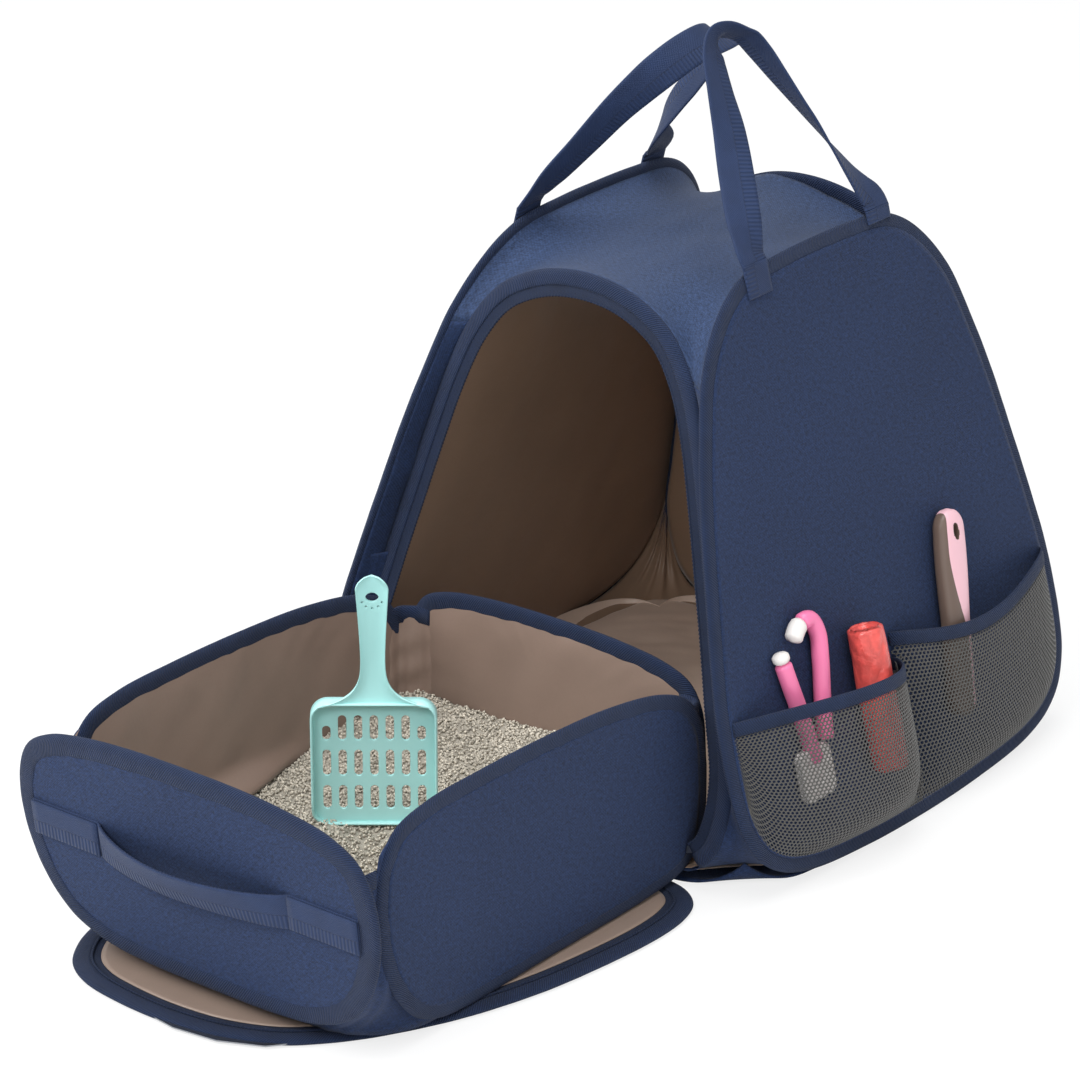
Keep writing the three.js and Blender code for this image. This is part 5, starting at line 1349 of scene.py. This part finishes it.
draw = np.random.default_rng(101)
a, b = np.meshgrid(np.linspace(0, 1, 150), np.linspace(0, 1, 200))
lump = draw.normal(0, 0.7, a.shape)
heap_top = heap_place(a, b, heap_height(a, b) - 1.4 + lump)
heap_low = heap_place(0.5 + (a - 0.5) * 0.62, 0.5 + (b - 0.5) * 0.72, np.full_like(a, LITTER_LOW + 1))
litter = closed_pad("litter_heap", heap_top, heap_low, litter_grain.material, "tray", ["litter"], "litter")
# Painted shade: the heap, seen only in the gaps between grains, is tinted darker than the grains.
set_tone(litter.data, np.full(len(litter.data.vertices), HEAP_SHADE_TONE))


def grains(name, count, seed, low, high):
    """Each grain is an octahedron stretched and turned at random, laid on the heap."""
    draw = np.random.default_rng(seed)
    shape = np.array([(1, 0, 0), (-1, 0, 0), (0, 1, 0), (0, -1, 0), (0, 0, 1), (0, 0, -1)], float)
    sides = np.array([(0, 2, 4), (2, 1, 4), (1, 3, 4), (3, 0, 4), (2, 0, 5), (1, 2, 5), (3, 1, 5), (0, 3, 5)])
    a, b = draw.uniform(0.004, 0.996, (2, count))
    middle = heap_place(a, b, heap_height(a, b) + draw.normal(0, 0.5, count))
    spin = np.linalg.qr(draw.normal(size=(count, 3, 3)))[0]
    stretch = draw.uniform(low, high, (count, 1, 3))
    points = middle[:, None] + np.einsum("nij,kj->nki", spin, shape) * stretch
    faces = (np.arange(count) * 6)[:, None, None] + sides[None]
    tones = np.repeat(np.clip(draw.normal(0.62, 0.22, count), 0, 1), 6)
    mesh = bpy.data.meshes.new(name)
    mesh.from_pydata((points.reshape(-1, 3) * MM).tolist(), [], faces.reshape(-1, 3).tolist())
    set_tone(mesh, tones)
    mesh.materials.append(litter_grain.material)
    mesh.polygons.foreach_set("use_smooth", np.ones(len(mesh.polygons), bool))
    piece = put(name, mesh)
    face_outwards(piece)
    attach(piece, "tray")
    return piece


loose = grains("litter_grains", 22000, 103, 0.9, 1.8)
print("grains", len(loose.data.polygons), "faces")

# %% [markdown]
# ## The scoop
# A moulded pan with a raised rim, three rows of slots and a channelled handle with a hanging hole. The
# slotted floor is a flat curve with holes in it, which gives clean rounded edges, and the rim is a profile
# carried round the same outline.

# %% Scoop
SCOOP_TIP, PAN_WIDTH, PAN_HEIGHT, PAN_CORNER, PAN_DEPTH = 64, 97, 106, 14, 14
HANDLE_TOP, HANDLE_WIDTH, NECK_WIDTH = 209, 25, 17
outward = np.array([math.sin(SCOOP_TURN), -math.cos(SCOOP_TURN), 0])
scoop_panel = Panel((SCOOP_PLACE[0] - outward[0] * PAN_DEPTH, SCOOP_PLACE[1] - outward[1] * PAN_DEPTH, SCOOP_TIP),
                    (math.cos(SCOOP_TURN), math.sin(SCOOP_TURN), 0), (0, 0, 1))


def flat_piece(name, panel, outlines, low, high, bevel, body, finish, nodes=()):
    """A plate with holes: closed flat curves filled and given a rounded edge, then made a mesh."""
    curve = bpy.data.curves.new(name, "CURVE")
    curve.dimensions, curve.fill_mode = "2D", "BOTH"
    curve.extrude, curve.bevel_depth, curve.bevel_resolution = (high - low) / 2 * MM - bevel * MM, bevel * MM, 2
    for line in outlines:
        spline = curve.splines.new("POLY")
        spline.points.add(len(line) - 1)
        flat = np.concatenate([line * MM, np.zeros((len(line), 1)), np.ones((len(line), 1))], axis=1)
        spline.points.foreach_set("co", flat.ravel())
        spline.use_cyclic_u = True
    holder = put(name + "_curve", curve)
    bpy.context.view_layer.update()
    mesh = bpy.data.meshes.new_from_object(holder.evaluated_get(bpy.context.evaluated_depsgraph_get()))
    bpy.data.objects.remove(holder)
    co = np.zeros(len(mesh.vertices) * 3)
    mesh.vertices.foreach_get("co", co)
    co = co.reshape(-1, 3) / MM
    mesh.vertices.foreach_set("co", (panel.at(co[:, 0], co[:, 1], co[:, 2] + (low + high) / 2) * MM).ravel())
    mesh.materials.clear()
    mesh.materials.append(finish)
    mesh.name = name
    piece = put(name, mesh)
    weld(mesh)
    face_outwards(piece)
    for polygon in mesh.polygons:
        polygon.use_smooth = False
    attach(piece, body)
    if nodes:
        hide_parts(*nodes)
    return piece


def slots():
    """Seven columns and three rows. The two outer slots of the top row are cut short by the corners."""
    made = []
    for row, (low, high) in enumerate(((12, 33), (40, 63), (70, 92))):
        for column in range(7):
            x = (column - 3) * 12.1
            top = high - 9 if row == 2 and column in (0, 6) else high
            made.append(rounded(3.7, low, top, 3.6, 28) + (x, 0))
    return made


pan_line = rounded(PAN_WIDTH / 2, 0, PAN_HEIGHT, PAN_CORNER, 200)
flat_piece("scoop_pan", scoop_panel, [inset(pan_line, 1.2)] + slots(), 0, 2.6, 0.5, "scoop", mint,
           ["scoop"])
RIM = np.array([(0, 0.3), (0.4, 0), (2.0, 0), (2.4, 0.5), (2.1, 9), (1.9, 13.2), (1.2, 14), (0.3, 13.4), (0.1, 6)])


def scoop_rim():
    way = inward(pan_line)
    short = 1 - 0.5 * np.clip((20 - pan_line[:, 1]) / 20, 0, 1)
    flat = pan_line[:, None] + way[:, None] * RIM[None, :, 0, None]
    points = scoop_panel.at(flat[..., 0], flat[..., 1], RIM[None, :, 1] * short[:, None])
    face_outwards(grid("scoop_rim", points, mint, "scoop", None, (True, True), ()))


def scoop_handle():
    """A channelled strip: its edges curl forwards, and its foot spreads into the pan's shoulders."""
    v = np.linspace(PAN_HEIGHT - 3, HANDLE_TOP, 90)
    t = (v - v[0]) / (v[-1] - v[0])
    neck, grip = NECK_WIDTH / 2, HANDLE_WIDTH / 2
    half = neck + (grip - neck) * np.clip((t - 0.2) / 0.7, 0, 1) ** 1.3 + 34 * np.exp(-t / 0.075)
    half = np.minimum(half, 42)
    end = np.clip((v - (HANDLE_TOP - grip)) / grip, 0, 1)
    half = half * np.sqrt(np.clip(1 - end ** 2, 0.0004, 1))
    s = np.linspace(-1, 1, 25)[None]
    u = half[:, None] * s
    curl = np.abs(s) ** 3 * np.minimum(half, 9)[:, None] * 0.42
    bend = 6.5 + 4.5 * np.exp(-t / 0.2)[:, None] - 2 * np.sin(math.pi * t)[:, None]
    front = scoop_panel.at(u, v[:, None] + 0 * u, bend + curl)
    back = scoop_panel.at(u * 1.02, v[:, None] + 0 * u, bend + curl * 0.9 - 2.8)
    return closed_pad("scoop_handle", front, back, mint, "scoop", (), "mint_plastic")


def drill(piece, panel, u, v, width, height, low=-20, high=40):
    """Cuts an oval hole through a piece, square to its panel."""
    angle = np.arange(28) * 2 * math.pi / 28
    ring = np.stack([u + width / 2 * np.cos(angle), v + height / 2 * np.sin(angle)], axis=1)
    points = np.concatenate([panel.at(ring[:, 0], ring[:, 1], np.full(28, low)),
                             panel.at(ring[:, 0], ring[:, 1], np.full(28, high))]) * MM
    k = np.arange(28)
    faces = [list(k[::-1]), list(k + 28)] + np.stack([k, (k + 1) % 28, (k + 1) % 28 + 28, k + 28], axis=1).tolist()
    mesh = bpy.data.meshes.new("cutter")
    mesh.from_pydata(points.tolist(), [], [[int(c) for c in f] for f in faces])
    cutter = put("cutter", mesh)
    face_outwards(cutter)
    cut = piece.modifiers.new("hole", "BOOLEAN")
    cut.object, cut.operation, cut.solver = cutter, "DIFFERENCE", "EXACT"
    bpy.context.view_layer.update()
    done = bpy.data.meshes.new_from_object(piece.evaluated_get(bpy.context.evaluated_depsgraph_get()))
    piece.modifiers.clear()
    piece.data = done
    bpy.data.objects.remove(cutter)


scoop_rim()
handle = scoop_handle()
drill(handle, scoop_panel, 0, HANDLE_TOP - 18, 10, 8)
for k, angle in enumerate(np.radians([200, 235, 270, 305, 340])):
    drill(handle, scoop_panel, 8 * math.cos(angle), HANDLE_TOP - 19 + 8 * math.sin(angle), 1.7, 1.7)
print("scoop made")

# %% [markdown]
# ## Things in the pocket
# A roll of waste bags, a brush whose handle is rubber on one side and plastic on the other, and clippers
# with two pink grips. They stand on the wall's cloth behind the net.

# %% Roll, brush and clippers
ITEM_BACK = 3.25
ROLL_PLACE, ROLL_FOOT, ROLL_HEIGHT = -52, 58, 118
RUBBER, PALE_PINK = (0.135, 0.092, 0.072), (0.83, 0.50, 0.56)
CLIPPER_PLACE, CLIPPER_FOOT, CLIPPER_WIDTH, CLIPPER_HEIGHT = -124, 62 + 40 + 1.1, 34, 40
right = panels["right"]


def bag_roll():
    """A wound roll: the radius creeps up by a layer each turn, its skin is creased, and its ends are worn."""
    v = np.linspace(0, ROLL_HEIGHT, 60)[:, None]
    angle = np.linspace(0, 2 * math.pi, 72, endpoint=False)[None]
    draw = np.random.default_rng(211)
    phases = draw.uniform(0, 6, 4)
    crinkle = sum(0.35 / k * np.sin(angle * k * 3 + v * 0.09 * k + p) for k, p in zip((1, 2, 3, 4), phases))
    waist = 1.2 * np.sin(v / ROLL_HEIGHT * math.pi) ** 0.5 - 1.2
    radius = 15.2 + 0.7 * np.sign(np.sin(angle)) * 0.3 + crinkle * 0.7 + waist
    radius = radius * np.sqrt(np.clip(1 - (1 - np.minimum(v, ROLL_HEIGHT - v) / 2.5).clip(0, 1) ** 2 * 0.35, 0, 1))
    ring_at = lambda r, h: right.at(ROLL_PLACE + r * np.cos(angle), ROLL_FOOT + h, ITEM_BACK + 16 + r * np.sin(angle))
    core = ((12, 117.4), (9, 116.6), (6, 117), (5.4, 112), (5.2, 60), (5.2, 6), (6, 1), (9, 1.2), (12, 0.6))
    points = np.concatenate([ring_at(radius, v)] + [ring_at(r, h + 0.4 * np.sin(angle * 6 + r)) for r, h in core])
    face_outwards(grid("waste_bag_roll", points, red_film, "bag_roll", None, (True, True), ["bag_roll"]))


def brush_handle(foot, tip):
    """An oval bar. Rubber and plastic meet along a curve, so each point keeps how far it is from that curve."""
    t = np.linspace(0, 1, 120)[:, None]
    angle = np.linspace(0, 2 * math.pi, 64, endpoint=False)[None]
    foot, tip = np.array(foot, float), np.array(tip, float)
    along = (tip - foot) / np.linalg.norm(tip - foot)
    ends = np.sqrt(np.clip(1 - np.clip((t - 0.91) / 0.09, 0, 1) ** 2, 0.001, 1)) * np.sqrt(np.clip(t / 0.04, 0.002, 1))
    c, s = np.cos(angle), np.sin(angle)
    half = 14.5 + 2.6 * np.sin(math.pi * rising(t, 0.45, 0.55) ** 1.2)
    aside = half * ends * np.sign(c) * np.abs(c) ** 0.75
    thick = 8.2 * ends ** 0.6 * np.sign(s) * np.abs(s) ** 0.75
    middle = foot + (tip - foot) * t
    points = right.at(middle[:, :1] + aside * along[1], middle[:, 1:] - aside * along[0], ITEM_BACK + 8.6 + thick)
    curve = -11 + 17 * np.clip((0.8 - t) / 0.4, 0, 1) ** 1.6 + 3.5 * np.clip((t - 0.9) / 0.1, 0, 1) ** 2
    split = np.clip((aside - curve) / 3 + 0.5 + 0 * thick, 0, 1) * np.clip((thick + 6) / 2, 0, 1)
    two = rough("brush_two_plastics", PALE_PINK, 0.42, 250, 2, 0.00006, Coat_Weight=0.1)
    share = two.node("ShaderNodeAttribute", {"attribute_name": "tone"}, out="Fac")
    stops = [(at, (*colour, 1)) for at, colour in ((0, RUBBER), (0.47, RUBBER), (0.53, PALE_PINK), (1, PALE_PINK))]
    ramp = two.node("ShaderNodeValToRGB", {"stops": stops}, share)
    two.tree.links.new(ramp.socket, two.shader.inputs["Base Color"])
    piece = grid("brush_handle", points, two.material, "brush", None, (False, True), ["brush"], None,
                 0.0, split.ravel())
    cap_ends(piece, 64)
    return piece


bag_roll()
BRUSH_FOOT, BRUSH_LENGTH, BRUSH_LEAN = (60, 62), 168, math.radians(10)
BRUSH_TIP = (BRUSH_FOOT[0] + BRUSH_LENGTH * math.sin(BRUSH_LEAN), BRUSH_FOOT[1] + BRUSH_LENGTH * math.cos(BRUSH_LEAN))
brush = brush_handle(BRUSH_FOOT, BRUSH_TIP)
drill(brush, right, BRUSH_TIP[0] - 3.5, BRUSH_TIP[1] - 18, 6.5, 14)


def grip_line(shares):
    """The middle line of a grip, through a few shares of the head's width and height."""
    flat = np.array([(CLIPPER_PLACE + a * CLIPPER_WIDTH, CLIPPER_FOOT + b * CLIPPER_HEIGHT) for a, b in shares])
    path = smooth_line(flat, 70, closed=False)
    return right.at(path[:, 0], path[:, 1], np.full(70, ITEM_BACK + 7.2))


straight = grip_line([(-0.2, -0.3), (-0.28, 0), (-0.42, 0.7), (-0.62, 1.5), (-0.76, 2.1)])
hooked = grip_line([(0.28, 0), (0.42, 0.7), (0.66, 1.6), (0.72, 2.1), (0.52, 2.42), (0.1, 2.4), (-0.22, 2.16)])
for name, line, radius, body, finish, nodes in (
        ("clipper_straight_grip", straight[:64], 7, "clippers", pink, ["clipper_body"]),
        ("clipper_straight_tip", straight[62:], 7.1, "clippers", white, ()),
        ("clipper_hooked_arm", hooked[:61], 7, "clipper_grip", pink, ["clipper_hooked_grip"]),
        ("clipper_hooked_tip", hooked[59:], 7.4, "clipper_grip", white, ())):
    tube(name, line, radius, body, finish, nodes, 16, blunt=4)
head_line = rounded(18, 0, 38, 5.5, 80) + (-132, 64)
flat_piece("clipper_head", right, [head_line], ITEM_BACK + 1.5, ITEM_BACK + 9.5, 1.5, "clippers", white)
print("pocket things made")

# %% [markdown]
# ## What the solids still show
# Hoops, board and slider are hard pieces whose solids have the right shape, so they only get finishes.

# %% Finishes of the kept solids
for name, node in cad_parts.items():
    if node.hide_render:
        continue
    wanted = slider_steel if name == "zip_slider" else stiff_board if name == "base_board" else hidden_steel
    node.data.materials.clear()
    node.data.materials.append(wanted.material)
print("kept solids", sorted(n for n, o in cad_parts.items() if not o.hide_render))

# %% [markdown]
# ## Floor and light
# The picture is lit softly from the front left, and the ground is white. The floor is pale and takes a soft
# shadow; seen by the camera it is lifted to white, which adds no light to the object.

# %% Floor, world and lamps
floor_mesh = bpy.data.meshes.new("floor")
floor_mesh.from_pydata([(-9, -9, 0), (9, -9, 0), (9, 9, 0), (-9, 9, 0)], [], [(0, 1, 2, 3)])
put("floor", floor_mesh)
floor_finish = Finish("floor_paper", (0.88, 0.88, 0.88), 0.9)
seen = floor_finish.node("ShaderNodeLightPath", out="Is Camera Ray")
glow = floor_finish.node("ShaderNodeEmission", None, (1, 1, 1, 1), 1.06)
output = next(n for n in floor_finish.tree.nodes if n.type == "OUTPUT_MATERIAL")
mixed = floor_finish.node("ShaderNodeMixShader", None, seen * 0.72, Wire(floor_finish, floor_finish.shader.outputs[0]),
                          glow)
floor_finish.tree.links.new(mixed.socket, output.inputs["Surface"])
floor_mesh.materials.append(floor_finish.material)

world = bpy.data.worlds.new("studio")
bpy.context.scene.world = world
world.use_nodes = True
tree = world.node_tree
tree.nodes.clear()
path = tree.nodes.new("ShaderNodeLightPath")
soft = tree.nodes.new("ShaderNodeBackground")
soft.inputs[0].default_value, soft.inputs[1].default_value = (0.96, 0.98, 1, 1), 0.62
plain = tree.nodes.new("ShaderNodeBackground")
plain.inputs[0].default_value, plain.inputs[1].default_value = (1, 1, 1, 1), 1.0
join = tree.nodes.new("ShaderNodeMixShader")
ends = tree.nodes.new("ShaderNodeOutputWorld")
tree.links.new(path.outputs["Is Camera Ray"], join.inputs[0])
tree.links.new(soft.outputs[0], join.inputs[1])
tree.links.new(plain.outputs[0], join.inputs[2])
tree.links.new(join.outputs[0], ends.inputs[0])


def lamp(name, place, target, size, power):
    """A square soft box that looks at a point."""
    light = bpy.data.lights.new(name, "AREA")
    light.size, light.energy = size, power
    thing = put(name, light)
    thing.location = place
    way = np.array(target, float) - np.array(place, float)
    flat = math.hypot(way[0], way[1])
    thing.rotation_euler = (math.atan2(flat, -way[2]), 0, math.atan2(-way[0], way[1]))


lamp("key", (-1.5, -2.4, 2.4), (0, -0.25, 0.2), 1.6, 60)
lamp("top", (0.1, -0.4, 2.9), (0, -0.2, 0.2), 2.0, 50)
lamp("fill", (2.6, -1.2, 1.4), (0, -0.2, 0.2), 2.0, 14)
lamp("doorway", (0.5, -2.4, 1.8), (-0.05, 0.05, 0.05), 0.8, 22)
print("light set")
